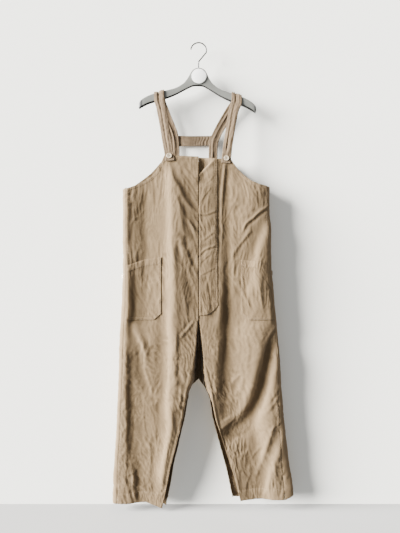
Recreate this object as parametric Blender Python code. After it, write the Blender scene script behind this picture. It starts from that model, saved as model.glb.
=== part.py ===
"""Chino overalls hanging on a plastic coat hanger, as separate cut-and-sewn pieces.

The front faces -Y, +X is on the right of someone who looks at it, and +Z is up. The wearer's right
is therefore at -X. The origin is the inner top of the hanger's hook, where a rail or pin carries it.
All lengths are in metres and all angles in degrees. The tables measure heights from a level HOOK_TOP
below the hook's inner top, and main() moves the finished parts down by that much.

Each half of the garment is a tube of cloth. At a given height, `turn` runs round that tube: from 0 at
the inner leg over the front face to 180 at the side, and on over the back face to 360. In the body the
two halves are open to each other, so the front only starts at 90 and the back ends at 270.
"""

import math
from collections import namedtuple

import bmesh
import bpy
from mathutils import Matrix, Vector

# Cloth and seams
CLOTH = 0.0015  # one layer of chino twill with the seam allowances behind it
STRAP_CLOTH = 0.0024  # straps and crosspiece are folded over and stitched
SEAM_GAP = 0.0003  # pieces keep this distance from each other at seams
LAYER_GAP = 0.0009  # a pocket or placket lies this far off the panel under it
RIGHT, LEFT = -1, 1  # the wearer's sides, as the sign of X

# Heights of the garment's landmarks
CHEST_Z = -0.560  # first level row below the armholes
POCKET_REST_Z = -0.780  # a height behind the pockets' mouths
HEM_TURN = 0.038  # depth of the turned hem

# The tube's cross-section: a flattened oval, squarer at the inner leg than at the side
SIDE_ROUND = 3.0
INNER_ROUND = 4.5

# One row for each height of a half. inner and outer are distances from the centre line to the half's
# edges, join_front and join_back say how far each face is still open to the other half (90 in the
# body, 0 in a leg), front and back are the depths of the faces from `mid`, and wrap_side and
# wrap_inner are how far the back panel reaches round each edge onto the front.
Section = namedtuple(
    "Section", "z inner outer join_front join_back front back mid wrap_side wrap_inner"
)
SECTIONS = {
    RIGHT: [
        Section(-0.400, 0.000, 0.276, 90, 90, 0.036, 0.030, -0.002, 0.015, 0.000),
        Section(-0.560, 0.000, 0.276, 90, 90, 0.046, 0.034, -0.002, 0.015, 0.000),
        Section(-0.840, 0.000, 0.276, 90, 90, 0.052, 0.036, -0.002, 0.016, 0.000),
        Section(-1.003, 0.000, 0.283, 90, 90, 0.052, 0.037, -0.002, 0.016, 0.000),
        Section(-1.024, 0.000, 0.285, 52, 90, 0.052, 0.037, -0.002, 0.016, 0.000),
        Section(-1.060, 0.000, 0.287, 31, 90, 0.051, 0.037, -0.002, 0.016, 0.000),
        Section(-1.130, 0.000, 0.289, 15, 90, 0.049, 0.037, -0.002, 0.016, 0.000),
        Section(-1.190, 0.000, 0.291, 7, 50, 0.047, 0.036, -0.001, 0.016, 0.000),
        Section(-1.226, 0.000, 0.293, 0, 0, 0.045, 0.034, 0.000, 0.016, 0.000),
        Section(-1.246, 0.025, 0.294, 0, 0, 0.043, 0.032, 0.000, 0.016, 0.002),
        Section(-1.270, 0.036, 0.295, 0, 0, 0.042, 0.031, 0.000, 0.016, 0.003),
        Section(-1.356, 0.050, 0.299, 0, 0, 0.038, 0.028, 0.000, 0.016, 0.005),
        Section(-1.443, 0.070, 0.304, 0, 0, 0.034, 0.026, 0.000, 0.016, 0.007),
        Section(-1.532, 0.092, 0.310, 0, 0, 0.031, 0.024, 0.000, 0.016, 0.009),
        Section(-1.622, 0.107, 0.313, 0, 0, 0.029, 0.023, 0.000, 0.017, 0.011),
        Section(-1.700, 0.124, 0.315, 0, 0, 0.028, 0.022, 0.000, 0.018, 0.012),
    ],
    LEFT: [
        Section(-0.400, 0.000, 0.259, 90, 90, 0.036, 0.030, -0.002, 0.008, 0.000),
        Section(-0.560, 0.000, 0.260, 90, 90, 0.046, 0.034, -0.002, 0.008, 0.000),
        Section(-0.840, 0.000, 0.269, 90, 90, 0.052, 0.036, -0.002, 0.008, 0.000),
        Section(-1.003, 0.000, 0.286, 90, 90, 0.052, 0.037, -0.002, 0.009, 0.000),
        Section(-1.024, 0.000, 0.288, 52, 90, 0.052, 0.037, -0.002, 0.009, 0.000),
        Section(-1.060, 0.000, 0.291, 31, 90, 0.051, 0.037, -0.002, 0.010, 0.000),
        Section(-1.130, 0.000, 0.296, 15, 90, 0.049, 0.037, -0.002, 0.011, 0.000),
        Section(-1.190, 0.000, 0.300, 7, 50, 0.047, 0.036, -0.001, 0.012, 0.000),
        Section(-1.226, 0.000, 0.302, 0, 0, 0.045, 0.034, 0.000, 0.013, 0.000),
        Section(-1.246, 0.017, 0.304, 0, 0, 0.043, 0.032, 0.000, 0.014, 0.003),
        Section(-1.270, 0.032, 0.306, 0, 0, 0.042, 0.031, 0.000, 0.015, 0.005),
        Section(-1.300, 0.043, 0.308, 0, 0, 0.041, 0.030, 0.000, 0.016, 0.007),
        Section(-1.365, 0.052, 0.313, 0, 0, 0.038, 0.028, 0.000, 0.019, 0.010),
        Section(-1.464, 0.078, 0.324, 0, 0, 0.034, 0.026, 0.000, 0.025, 0.016),
        Section(-1.555, 0.103, 0.337, 0, 0, 0.031, 0.024, 0.000, 0.031, 0.021),
        Section(-1.600, 0.113, 0.345, 0, 0, 0.029, 0.023, 0.000, 0.034, 0.024),
        Section(-1.670, 0.128, 0.350, 0, 0, 0.028, 0.022, 0.000, 0.036, 0.026),
    ],
}

# Top and bottom outlines, from the centre line outwards: the bib or back's top, its corner, the
# armhole's curve and the underarm, and at the foot the hem's fall from the inner leg to the side.
Outline = namedtuple("Outline", "x z")
FRONT_TOP = {
    RIGHT: [
        Outline(0.000, -0.4090),
        Outline(0.124, -0.4040),
        Outline(0.136, -0.4320),
        Outline(0.155, -0.4670),
        Outline(0.176, -0.4870),
        Outline(0.200, -0.5010),
        Outline(0.230, -0.5140),
        Outline(0.261, -0.5250),
        Outline(0.276, -0.5290),
    ],
    LEFT: [
        Outline(0.000, -0.4100),
        Outline(0.121, -0.4200),
        Outline(0.133, -0.4420),
        Outline(0.150, -0.4620),
        Outline(0.171, -0.4810),
        Outline(0.192, -0.4960),
        Outline(0.222, -0.5080),
        Outline(0.251, -0.5150),
        Outline(0.259, -0.5170),
    ],
}
BACK_TOP = {
    RIGHT: [
        Outline(0.000, -0.4180),
        Outline(0.138, -0.4180),
        Outline(0.152, -0.4380),
        Outline(0.172, -0.4600),
        Outline(0.203, -0.4850),
        Outline(0.238, -0.5090),
        Outline(0.261, -0.5250),
        Outline(0.276, -0.5290),
    ],
    LEFT: [
        Outline(0.000, -0.4180),
        Outline(0.133, -0.4220),
        Outline(0.148, -0.4430),
        Outline(0.169, -0.4640),
        Outline(0.197, -0.4860),
        Outline(0.228, -0.5020),
        Outline(0.251, -0.5150),
        Outline(0.259, -0.5170),
    ],
}
HEM = {
    RIGHT: [
        Outline(0.124, -1.6930),
        Outline(0.140, -1.6870),
        Outline(0.195, -1.6690),
        Outline(0.253, -1.6740),
        Outline(0.314, -1.6730),
    ],
    LEFT: [
        Outline(0.126, -1.6640),
        Outline(0.150, -1.6660),
        Outline(0.240, -1.6590),
        Outline(0.318, -1.6590),
        Outline(0.350, -1.6460),
    ],
}

# Grid lines of the panels: where the front's columns lie at the chest, how the back's columns share
# the way round it, and how the rows share the height
FRONT_COLUMNS = {
    RIGHT: [0.000, 0.030, 0.060, 0.084, 0.104, 0.124, 0.136, 0.155, 0.180, 0.208, 0.237],
    LEFT: [0.000, 0.034, 0.068, 0.084, 0.102, 0.121, 0.134, 0.150, 0.174, 0.200, 0.228],
}
BACK_EDGE_COLUMNS = 2
BACK_FACE_COLUMNS = 11
TOP_ROW_SHARES = [0.0, 0.2, 0.42, 0.68]
LEVEL_ROWS = [
    -0.560, -0.610, -0.665, -0.720, -0.775, -0.840, -0.905, -0.960, -1.003,
    -1.024, -1.060, -1.110, -1.150, -1.190, -1.226, -1.246, -1.270, -1.310,
    -1.356, -1.410, -1.464, -1.520, -1.575,
]  # fmt: skip

# Each panel is one cut of cloth, built as three solids so that each is a simple wall around its hollow
PANEL_PARTS = ["", "_thigh", "_shin"]
PANEL_CUTS = [-0.960, -1.310]

# The largest folds, as soft ridges (height above 0) or troughs along a line of (x, z) points. A fold
# stays on its own side of the centre line, unless its side is 0.
Fold = namedtuple("Fold", "name side face height width line")
FRONT, BACK = "front", "back"
FOLDS = [
    Fold("right_crease", RIGHT, FRONT, 0.010, 0.040,
         [(-0.104, -0.480), (-0.097, -0.700), (-0.100, -1.000), (-0.117, -1.400)]),
    Fold("right_bib_drag", RIGHT, FRONT, -0.006, 0.022, [(-0.086, -0.480), (-0.012, -0.610)]),
    Fold("right_lap_drag", RIGHT, FRONT, -0.006, 0.026, [(-0.070, -0.730), (-0.032, -0.930)]),
    Fold("right_side_hollow", RIGHT, FRONT, -0.006, 0.030, [(-0.238, -0.640), (-0.215, -1.090)]),
    Fold("left_pleat", LEFT, FRONT, -0.010, 0.018,
         [(0.098, -0.480), (0.100, -0.750), (0.088, -1.040), (0.060, -1.380)]),
    Fold("left_pleat_outer_edge", LEFT, FRONT, 0.005, 0.022,
         [(0.128, -0.480), (0.134, -0.800), (0.128, -1.080)]),
    Fold("left_thigh_sweep", LEFT, FRONT, -0.012, 0.024,
         [(0.262, -1.062), (0.236, -1.090), (0.222, -1.150), (0.195, -1.283),
          (0.160, -1.351), (0.122, -1.388)]),
    Fold("left_shin_panel", LEFT, FRONT, 0.005, 0.045, [(0.262, -1.440), (0.262, -1.600)]),
    Fold("back_right_drape", RIGHT, BACK, -0.007, 0.026, [(-0.104, -0.500), (-0.122, -1.050)]),
    Fold("back_left_drape", LEFT, BACK, -0.007, 0.026, [(0.092, -0.500), (0.112, -0.980)]),
    Fold("back_seat", 0, BACK, 0.007, 0.050, [(-0.080, -0.980), (0.075, -0.980)]),
    Fold("back_right_leg", RIGHT, BACK, -0.006, 0.026, [(-0.150, -1.200), (-0.190, -1.560)]),
    Fold("back_left_leg", LEFT, BACK, -0.006, 0.026, [(0.160, -1.180), (0.222, -1.540)]),
]  # fmt: skip

# Fly: the wearer's left front laps over the right one
FLY_EDGE = 0.002
FLY_STITCH = 0.068
FLY_COLUMNS = [1]  # the panel's columns and rows that run behind it
FLY_LAST_ROW = 10
FLY_TOP_INSET = 0.001
FLY_FOOT_Z = -0.984
FLY_FOOT_RISE = 0.036  # the J-shaped foot is this much higher at the stitched edge
UNDERLAP_EDGE = 0.045
UNDERLAP_FOOT_Z = -0.950

# Patch pockets, sewn into the side seams. Heights run from the inner edge to the side.
Pocket = namedtuple("Pocket", "first_column top foot")
POCKETS = {
    RIGHT: Pocket(
        6,
        [Outline(0.134, -0.774), Outline(0.200, -0.784), Outline(0.260, -0.806)],
        [Outline(0.134, -0.978), Outline(0.160, -1.001), Outline(0.262, -1.001)],
    ),
    LEFT: Pocket(
        7,
        [Outline(0.152, -0.783), Outline(0.225, -0.792), Outline(0.262, -0.810)],
        [Outline(0.157, -0.983), Outline(0.178, -1.001), Outline(0.270, -1.001)],
    ),
}
POCKET_ROWS = [9, 10, 11]  # the panel's rows that run behind a pocket

# Straps: one row for each point of the middle of the strap, from its button over the hanger to the
# back. slope is the angle of the strap's width above the level, crown the height of its lengthwise
# crease. Rows with y = None lie on the panel under them.
StrapRow = namedtuple("StrapRow", "x y z width slope crown")
STRAPS = {
    RIGHT: [
        StrapRow(0.1040, None, -0.4260, 0.034, 0, 0.0000),
        StrapRow(0.1055, None, -0.4060, 0.034, 0, 0.0004),
        StrapRow(0.1130, -0.0385, -0.3650, 0.034, 0, 0.0020),
        StrapRow(0.1230, -0.0310, -0.3050, 0.034, 0, 0.0030),
        StrapRow(0.1350, -0.0220, -0.2350, 0.036, 0, 0.0020),
        StrapRow(0.1430, -0.0165, -0.2000, 0.038, 8, 0.0006),
        StrapRow(0.1445, -0.0143, -0.1800, 0.038, 15, 0.0000),
        StrapRow(0.1450, -0.0138, -0.1700, 0.038, 15, 0.0000),
        StrapRow(0.1452, -0.0095, -0.1636, 0.038, 15, 0.0000),
        StrapRow(0.1452, 0.0000, -0.1630, 0.038, 15, 0.0000),
        StrapRow(0.1452, 0.0095, -0.1636, 0.038, 15, 0.0000),
        StrapRow(0.1450, 0.0138, -0.1700, 0.038, 15, 0.0000),
        StrapRow(0.1445, 0.0143, -0.1800, 0.038, 15, 0.0000),
        StrapRow(0.1405, 0.0165, -0.1960, 0.037, 8, 0.0004),
        StrapRow(0.1310, 0.0195, -0.2220, 0.036, 0, 0.0015),
        StrapRow(0.1120, 0.0245, -0.2680, 0.035, 0, 0.0025),
        StrapRow(0.0965, 0.0285, -0.3060, 0.034, 0, 0.0012),
        StrapRow(0.0895, 0.0305, -0.3380, 0.033, 0, 0.0000),
        StrapRow(0.0885, 0.0310, -0.3700, 0.033, 0, 0.0000),
        StrapRow(0.0885, None, -0.4270, 0.033, 0, 0.0000),
        StrapRow(0.0885, None, -0.4560, 0.033, 0, 0.0000),
    ],
    LEFT: [
        StrapRow(0.0995, None, -0.4320, 0.034, 0, 0.0000),
        StrapRow(0.1010, None, -0.4140, 0.034, 0, 0.0004),
        StrapRow(0.1060, -0.0385, -0.3700, 0.034, 0, 0.0020),
        StrapRow(0.1160, -0.0310, -0.3070, 0.034, 0, 0.0030),
        StrapRow(0.1280, -0.0220, -0.2400, 0.036, 0, 0.0020),
        StrapRow(0.1380, -0.0165, -0.2090, 0.038, -8, 0.0006),
        StrapRow(0.1395, -0.0143, -0.1895, 0.038, -19, 0.0000),
        StrapRow(0.1398, -0.0138, -0.1790, 0.038, -19, 0.0000),
        StrapRow(0.1400, -0.0095, -0.1726, 0.038, -19, 0.0000),
        StrapRow(0.1400, 0.0000, -0.1720, 0.038, -19, 0.0000),
        StrapRow(0.1400, 0.0095, -0.1726, 0.038, -19, 0.0000),
        StrapRow(0.1398, 0.0138, -0.1790, 0.038, -19, 0.0000),
        StrapRow(0.1395, 0.0143, -0.1895, 0.038, -19, 0.0000),
        StrapRow(0.1340, 0.0165, -0.2060, 0.037, -10, 0.0004),
        StrapRow(0.1200, 0.0195, -0.2250, 0.036, 0, 0.0015),
        StrapRow(0.0930, 0.0250, -0.2680, 0.035, 0, 0.0025),
        StrapRow(0.0710, 0.0285, -0.3080, 0.034, 0, 0.0012),
        StrapRow(0.0580, 0.0305, -0.3380, 0.033, 0, 0.0000),
        StrapRow(0.0545, 0.0310, -0.3700, 0.033, 0, 0.0000),
        StrapRow(0.0540, None, -0.4270, 0.033, 0, 0.0000),
        StrapRow(0.0540, None, -0.4560, 0.033, 0, 0.0000),
    ],
}
STRAP_STEPS = 2  # stations between two rows of a strap
STRAP_REST = 0.012  # a strap's end clears what its panel does this far above and below it

# Crosspiece that ties the two back straps together
CROSS_COLUMNS = [-0.106, -0.088, -0.062, -0.032, 0.000, 0.028, 0.0545, 0.071]
CROSS_TOP_Z = -0.316
CROSS_HEIGHTS = (0.040, 0.035)  # at its two ends
CROSS_SAG = 0.002
CROSS_Y = 0.0330

# Buttons: four-hole, with a raised rim
BUTTON_RADIUS = 0.0098
BUTTON_THICKNESS = 0.0034
BUTTON_RIM = 0.0022
BUTTON_REST = 0.030  # a strap is taken as flat this far above and below its button
BUTTON_DISH = 0.0008
BUTTON_SIDES = 20
HOLE_RADIUS = 0.0010
HOLE_OFFSET = 0.0021
BIB_BUTTON_Z = {RIGHT: -0.4075, LEFT: -0.4145}
SIDE_BUTTONS = {RIGHT: (-0.844, 171.0), LEFT: (-0.832, 180.0)}  # height and turn

# Hanger: a moulded channel, open underneath, tilted a little to one side
HANGER_TILT = 2.2
HANGER_WALL = 0.0025
HANGER_TOP_ROUND = 0.004
HANGER_BOSS_CENTRE = Vector((0.0, 0.0, -0.108))
# top and foot are heights, depth is half the hanger's thickness, roof is how thick its top wall is
HangerRow = namedtuple("HangerRow", "x top foot depth roof")
HANGER_ARM = [
    HangerRow(0.0000, -0.0755, -0.1400, 0.0090, 0.0030),
    HangerRow(0.0120, -0.0778, -0.1405, 0.0090, 0.0030),
    HangerRow(0.0230, -0.0850, -0.1430, 0.0090, 0.0030),
    HangerRow(0.0300, -0.0955, -0.1465, 0.0090, 0.0030),
    HangerRow(0.0360, -0.1080, -0.1495, 0.0090, 0.0030),
    HangerRow(0.0440, -0.1215, -0.1540, 0.0092, 0.0030),
    HangerRow(0.0560, -0.1355, -0.1605, 0.0095, 0.0030),
    HangerRow(0.0800, -0.1515, -0.1745, 0.0100, 0.0030),
    HangerRow(0.1100, -0.1620, -0.1880, 0.0108, 0.0030),
    HangerRow(0.1450, -0.1715, -0.2000, 0.0116, 0.0030),
    HangerRow(0.1800, -0.1850, -0.2120, 0.0122, 0.0030),
    HangerRow(0.2030, -0.1990, -0.2240, 0.0124, 0.0040),
    HangerRow(0.2130, -0.2090, -0.2310, 0.0110, 0.0100),
    HangerRow(0.2160, -0.2160, -0.2330, 0.0080, 0.0110),
]
DISC_RADIUS = 0.0295
DISC_THICKNESS = 0.003
DISC_SIDES = 40

# Hook: a wire bent into a crook, with a straight run down to the hanger
WIRE_RADIUS = 0.0024
WIRE_SIDES = 10
HOOK_TOP = 0.0165  # the crook's inner top, above the level that all heights here are measured from
CROOK_INNER_RADIUS = 0.0265
CROOK_TIP_ANGLE = 172.0
CROOK_END_ANGLE = -36.0
CROOK_POINTS = 19
HOOK_FOOT = [
    Vector((0.0030, 0.0, -0.0478)),
    Vector((0.0000, 0.0, -0.0545)),
    Vector((-0.0005, 0.0, -0.0749)),
]

MATERIALS = {
    "twill": ((0.46, 0.37, 0.27, 1.0), 0.88, 0.0),
    "button": ((0.62, 0.57, 0.48, 1.0), 0.35, 0.0),
    "hanger_grey": ((0.27, 0.27, 0.25, 1.0), 0.45, 0.0),
    "disc_white": ((0.85, 0.85, 0.83, 1.0), 0.35, 0.0),
    "chrome": ((0.75, 0.75, 0.76, 1.0), 0.12, 1.0),
}


def between(rows, key, at):
    """The row of a table of named tuples at `at`, part way between the two nearest rows."""
    rows = sorted(rows, key=lambda row: getattr(row, key))
    if at <= getattr(rows[0], key):
        return rows[0]
    for low, high in zip(rows, rows[1:]):
        if at <= getattr(high, key):
            share = (at - getattr(low, key)) / (getattr(high, key) - getattr(low, key))
            return type(low)(*(a + (b - a) * share for a, b in zip(low, high)))
    return rows[-1]


def segment_distance(point, start, end):
    """Distance in the (x, z) plane from a point to a stretch of a fold's line."""
    along = end - start
    share = max(0.0, min(1.0, (point - start).dot(along) / along.length_squared))
    return (point - start - along * share).length


def fold_height(side, face, x, z):
    """How far the folds push one face of a half outwards at (x, z)."""
    here = Vector((x, z))
    total = 0.0
    for fold in FOLDS:
        if fold.face == face and fold.side in (side, 0):
            line = [Vector(point) for point in fold.line]
            away = min(segment_distance(here, a, b) for a, b in zip(line, line[1:]))
            total += fold.height * math.exp(-((away / fold.width) ** 2))
    return total


class Half:
    """One half of the garment: the wearer's right or left, body and leg."""

    def __init__(self, side):
        self.side = side

    def frame(self, z, face):
        """The section's row at z, with the middle and half width of its oval."""
        row = between(SECTIONS[self.side], "z", z)
        join = math.radians(row.join_front if face == FRONT else row.join_back)
        inner = max(row.inner, SEAM_GAP / 2)
        half = (row.outer - inner) / (1 + math.cos(join))
        return row, row.outer - half, half

    def point(self, z, turn):
        """The garment's outer surface at a height and turn."""
        turn = turn % 360
        face = FRONT if turn <= 180 else BACK
        row, middle, half = self.frame(z, face)
        across = math.cos(math.radians(turn))
        power = INNER_ROUND if across > 0 else SIDE_ROUND
        bulge = max(0.0, 1 - abs(across) ** power) ** (1 / power)
        x = self.side * (middle - half * across)
        depth = row.front if face == FRONT else row.back
        depth = (depth + fold_height(self.side, face, x, z)) * bulge
        return Vector((x, row.mid + (-depth if face == FRONT else depth), z))

    def normal(self, z, turn):
        """Outward direction of the surface, from points a little way off."""
        around = self.point(z, turn + 0.5) - self.point(z, turn - 0.5)
        down = self.point(z - 0.002, turn) - self.point(z + 0.002, turn)
        return around.cross(down).normalized() * -self.side

    def turn_at(self, z, x, face=FRONT):
        """The turn at which a face passes a distance x from the centre line."""
        _, middle, half = self.frame(z, face)
        across = max(-1.0, min(1.0, (middle - x) / half))
        turn = math.degrees(math.acos(across))
        return turn if face == FRONT else 360 - turn

    def side_seam(self, z):
        row, _, _ = self.frame(z, FRONT)
        return self.turn_at(z, row.outer - row.wrap_side)

    def inner_seam(self, z):
        row, _, _ = self.frame(z, FRONT)
        return self.turn_at(z, max(row.inner, SEAM_GAP / 2) + row.wrap_inner)

    def off_seam(self, z, seam, way):
        """The turn that lies half the seam gap from a seam, towards +1 or -1."""
        start = self.point(z, seam)
        step = 1.0
        while (self.point(z, seam + way * step) - start).length > SEAM_GAP / 2:
            step *= 0.9
        return seam + way * step

    def wall_direction(self, z, turn):
        """The way a wall's thickness points: at a seam both walls take the seam's own direction."""
        for seam in (self.side_seam(z), self.inner_seam(z), 360 + self.inner_seam(z)):
            if (self.point(z, seam) - self.point(z, turn)).length < SEAM_GAP:
                return self.normal(z, seam)
        return self.normal(z, turn)

    def front_turns(self, z):
        """Turns of the front panel's columns at z."""
        start = self.inner_seam(z)
        row, _, _ = self.frame(z, FRONT)
        if row.join_front == 0:
            start = self.off_seam(z, start, 1)
        end = self.off_seam(z, self.side_seam(z), -1)
        first = self.turn_at(CHEST_Z, SEAM_GAP / 2)
        last = self.side_seam(CHEST_Z)
        shares = [
            (self.turn_at(CHEST_Z, max(x, SEAM_GAP / 2)) - first) / (last - first)
            for x in FRONT_COLUMNS[self.side]
        ]
        return [start + (end - start) * share for share in shares + [1.0]]

    def back_turns(self, z):
        """Turns of the back panel's columns at z, from the side seam round to the centre or inseam."""
        row, _, _ = self.frame(z, BACK)
        start = self.off_seam(z, self.side_seam(z), 1)
        if row.join_back == 0:
            end = self.off_seam(z, 360 + self.inner_seam(z), -1)
        else:
            end = self.turn_at(z, max(row.inner, SEAM_GAP / 2), BACK)
        edge = [start + (180 - start) * i / BACK_EDGE_COLUMNS for i in range(BACK_EDGE_COLUMNS)]
        face = [180 + (end - 180) * i / BACK_FACE_COLUMNS for i in range(BACK_FACE_COLUMNS + 1)]
        return edge + face


class Panel:
    """A front or back panel of one half, as rows of surface points from the top edge to the hem."""

    def __init__(self, half, turns_at, top):
        self.half = half
        columns = len(turns_at(CHEST_Z))
        hem = HEM[half.side]
        self.points = []
        self.normals = []
        for row in range(len(TOP_ROW_SHARES) + len(LEVEL_ROWS) + 2):
            points, normals = [], []
            for column in range(columns):
                z = self.height(row, column, turns_at, top, hem)
                turn = turns_at(z)[column]
                points.append(half.point(z, turn))
                normals.append(half.wall_direction(z, turn))
            self.points.append(points)
            self.normals.append(normals)

    def height(self, row, column, turns_at, top, hem):
        """The height of a grid point: top rows follow the outline, the last two follow the hem."""
        if row < len(TOP_ROW_SHARES):
            x = abs(self.half.point(CHEST_Z, turns_at(CHEST_Z)[column]).x)
            edge = between(top[self.half.side], "x", x).z
            return edge + (CHEST_Z - edge) * TOP_ROW_SHARES[row]
        row -= len(TOP_ROW_SHARES)
        if row < len(LEVEL_ROWS):
            return LEVEL_ROWS[row]
        foot = LEVEL_ROWS[-1] - HEM_TURN
        x = abs(self.half.point(foot, turns_at(foot)[column]).x)
        edge = between(hem, "x", x).z
        return edge if row > len(LEVEL_ROWS) else edge + HEM_TURN

    def on_column(self, column, z):
        """Point and normal at height z on a column, which may lie between two of the grid's."""
        left = int(min(column, len(self.points[0]) - 2))
        ends = []
        for number in (left, left + 1):
            row = 0
            while row < len(self.points) - 2 and self.points[row + 1][number].z > z:
                row += 1
            high, low = self.points[row][number], self.points[row + 1][number]
            share = (high.z - z) / (high.z - low.z)
            normal = self.normals[row][number].lerp(self.normals[row + 1][number], share)
            ends.append((high.lerp(low, share), normal))
        (a, normal_a), (b, normal_b) = ends
        share = column - left
        return a.lerp(b, share), normal_a.lerp(normal_b, share).normalized()

    def column_at(self, x, z):
        """The column, as a fraction, at a distance x from the centre line and a height z."""
        numbers = range(len(self.points[0]))
        if self.points[0][-1].y > 0:
            numbers = reversed(range(BACK_EDGE_COLUMNS, len(self.points[0])))
        numbers = list(numbers)
        reach = [abs(self.on_column(number, z)[0].x) for number in numbers]
        for a, b, near, far in zip(numbers, numbers[1:], reach, reach[1:]):
            if x <= far:
                return a + (b - a) * max(0.0, x - near) / (far - near)
        return numbers[-1]

    def at(self, x, z):
        """Point and normal of the panel at (x, z), on the facets it is built of."""
        return self.on_column(self.column_at(x, z), z)

    def row_height(self, row, column):
        """Height of one of the grid's rows at a column."""
        left = int(min(column, len(self.points[0]) - 2))
        a, b = self.points[row][left].z, self.points[row][left + 1].z
        return a + (b - a) * (column - left)


def add_object(name, mesh, material):
    """Put a mesh in the scene as a named part. A mesh that several parts share gets its material once."""
    part = bpy.data.objects.new(name, mesh)
    bpy.context.collection.objects.link(part)
    if material.name not in mesh.materials:
        mesh.materials.append(material)
    return part


def mesh_from(name, vertices, faces):
    """A closed mesh whose faces point outwards."""
    mesh = bpy.data.meshes.new(name)
    mesh.from_pydata([tuple(vertex) for vertex in vertices], [], faces)
    work = bmesh.new()
    work.from_mesh(mesh)
    bmesh.ops.recalc_face_normals(work, faces=work.faces)
    work.to_mesh(mesh)
    work.free()
    return mesh


def wall_between(name, outer, inner, material):
    """The closed wall between two grids of points that have the same rows and columns.

    Both sides are split along the same diagonals, so that the wall keeps its thickness.
    """
    rows, columns = len(outer), len(outer[0])
    vertices = [point for grid in (outer, inner) for row in grid for point in row]
    count = rows * columns

    def index(layer, row, column):
        return layer * count + row * columns + column

    faces = []
    for row in range(rows - 1):
        for column in range(columns - 1):
            a, b, c, d = (row, column), (row, column + 1), (row + 1, column + 1), (row + 1, column)
            for corners in ((a, b, c), (a, c, d)):
                faces.append([index(0, *corner) for corner in corners])
                faces.append([index(1, *corner) for corner in reversed(corners)])
    rim = [(0, column) for column in range(columns)]
    rim += [(row, columns - 1) for row in range(1, rows)]
    rim += [(rows - 1, column) for column in range(columns - 2, -1, -1)]
    rim += [(row, 0) for row in range(rows - 2, 0, -1)]
    for here, there in zip(rim, rim[1:] + rim[:1]):
        faces.append([index(0, *here), index(1, *here), index(1, *there), index(0, *there)])
    return add_object(name, mesh_from(name, vertices, faces), material)


def step_towards(start, end, distance):
    """The point a distance from start on the way to end."""
    return start.lerp(end, distance / (end - start).length)


def panel_walls(name, panel, material):
    """A panel of cloth, from its surface to one cloth thickness further in, cut into its parts."""
    inner = [
        [point - normal * CLOTH for point, normal in zip(points, normals)]
        for points, normals in zip(panel.points, panel.normals)
    ]
    cuts = [len(TOP_ROW_SHARES) + LEVEL_ROWS.index(z) for z in PANEL_CUTS]
    for part, first, last in zip(PANEL_PARTS, [0] + cuts, cuts + [len(inner) - 1]):
        outside, inside = panel.points[first : last + 1], inner[first : last + 1]
        if first > 0:
            for grid in (outside, inside):
                grid[0] = [step_towards(a, b, SEAM_GAP) for a, b in zip(grid[0], grid[1])]
        wall_between(name + part, outside, inside, material)


def layer_on(name, found, out_from, out_to, material):
    """A layer that lies on a panel, between two distances out from the panel's own points."""
    near = [[point + normal * out_from for point, normal in row] for row in found]
    far = [[point + normal * out_to for point, normal in row] for row in found]
    return wall_between(name, far, near, material)


def grid_on(panel, edges, columns, top_at, foot_at, rows):
    """Points and normals on a panel, for a layer between two edges at fixed distances from the centre.

    The columns and rows between its edges are the panel's own, so that the layer keeps its distance.
    """
    rest = panel.points[rows[0]][0].z

    def column_of(line, z):
        return panel.column_at(line, z) if line in edges else line

    grid = []
    for row in ["top", *rows, "foot"]:
        found = []
        for line in [edges[0], *columns, edges[1]]:
            column = column_of(line, rest)
            x = abs(panel.on_column(column, rest)[0].x)
            if row == "top":
                z = top_at(x)
            elif row == "foot":
                z = foot_at(x)
            else:
                z = panel.row_height(row, column)
            found.append(panel.on_column(column_of(line, z), z))
        grid.append(found)
    return grid


def build_fly(front, material):
    """The placket that laps over the centre front, and the underlap behind it."""
    top = FRONT_TOP[LEFT]

    def placket_foot(x):
        share = (x - FLY_EDGE) / (FLY_STITCH - FLY_EDGE)
        return FLY_FOOT_Z + FLY_FOOT_RISE * share**3

    def top_edge(x):
        return between(top, "x", x).z - FLY_TOP_INSET

    rows = list(range(1, FLY_LAST_ROW + 1))
    placket = grid_on(front, (FLY_EDGE, FLY_STITCH), FLY_COLUMNS, top_edge, placket_foot, rows)
    layer_on("fly_placket", placket, LAYER_GAP, LAYER_GAP + CLOTH, material)
    edges = (FLY_EDGE, UNDERLAP_EDGE)
    underlap = grid_on(front, edges, FLY_COLUMNS, top_edge, lambda x: UNDERLAP_FOOT_Z, rows)
    back = -CLOTH - LAYER_GAP
    layer_on("fly_underlap", underlap, back - CLOTH, back, material)


def build_pocket(name, front, pocket, material):
    """A patch pocket with a sloping mouth and one cut corner, from its inner edge to the side seam."""
    grid = []
    for row in ["top", *POCKET_ROWS, "foot"]:
        line = []
        for column in range(pocket.first_column, len(front.points[0])):
            x = abs(front.on_column(column, POCKET_REST_Z)[0].x)
            if row == "top":
                z = between(pocket.top, "x", x).z
            elif row == "foot":
                z = between(pocket.foot, "x", x).z
            else:
                z = front.row_height(row, column)
            line.append(front.on_column(column, z))
        grid.append(line)
    layer_on(name, grid, LAYER_GAP, LAYER_GAP + CLOTH, material)


def smooth_path(points, steps):
    """A smooth curve through all of the points, with `steps` stations between each two."""
    padded = [points[0] * 2 - points[1]] + points + [points[-1] * 2 - points[-2]]
    path = []
    for a, b, c, d in zip(padded, padded[1:], padded[2:], padded[3:]):
        for step in range(steps):
            t = step / steps
            path.append(
                0.5 * (2 * b + (c - a) * t + (2 * a - 5 * b + 4 * c - d) * t**2
                       + (3 * b - a - 3 * c + d) * t**3)
            )  # fmt: skip
    return path + [points[-1]]


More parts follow.
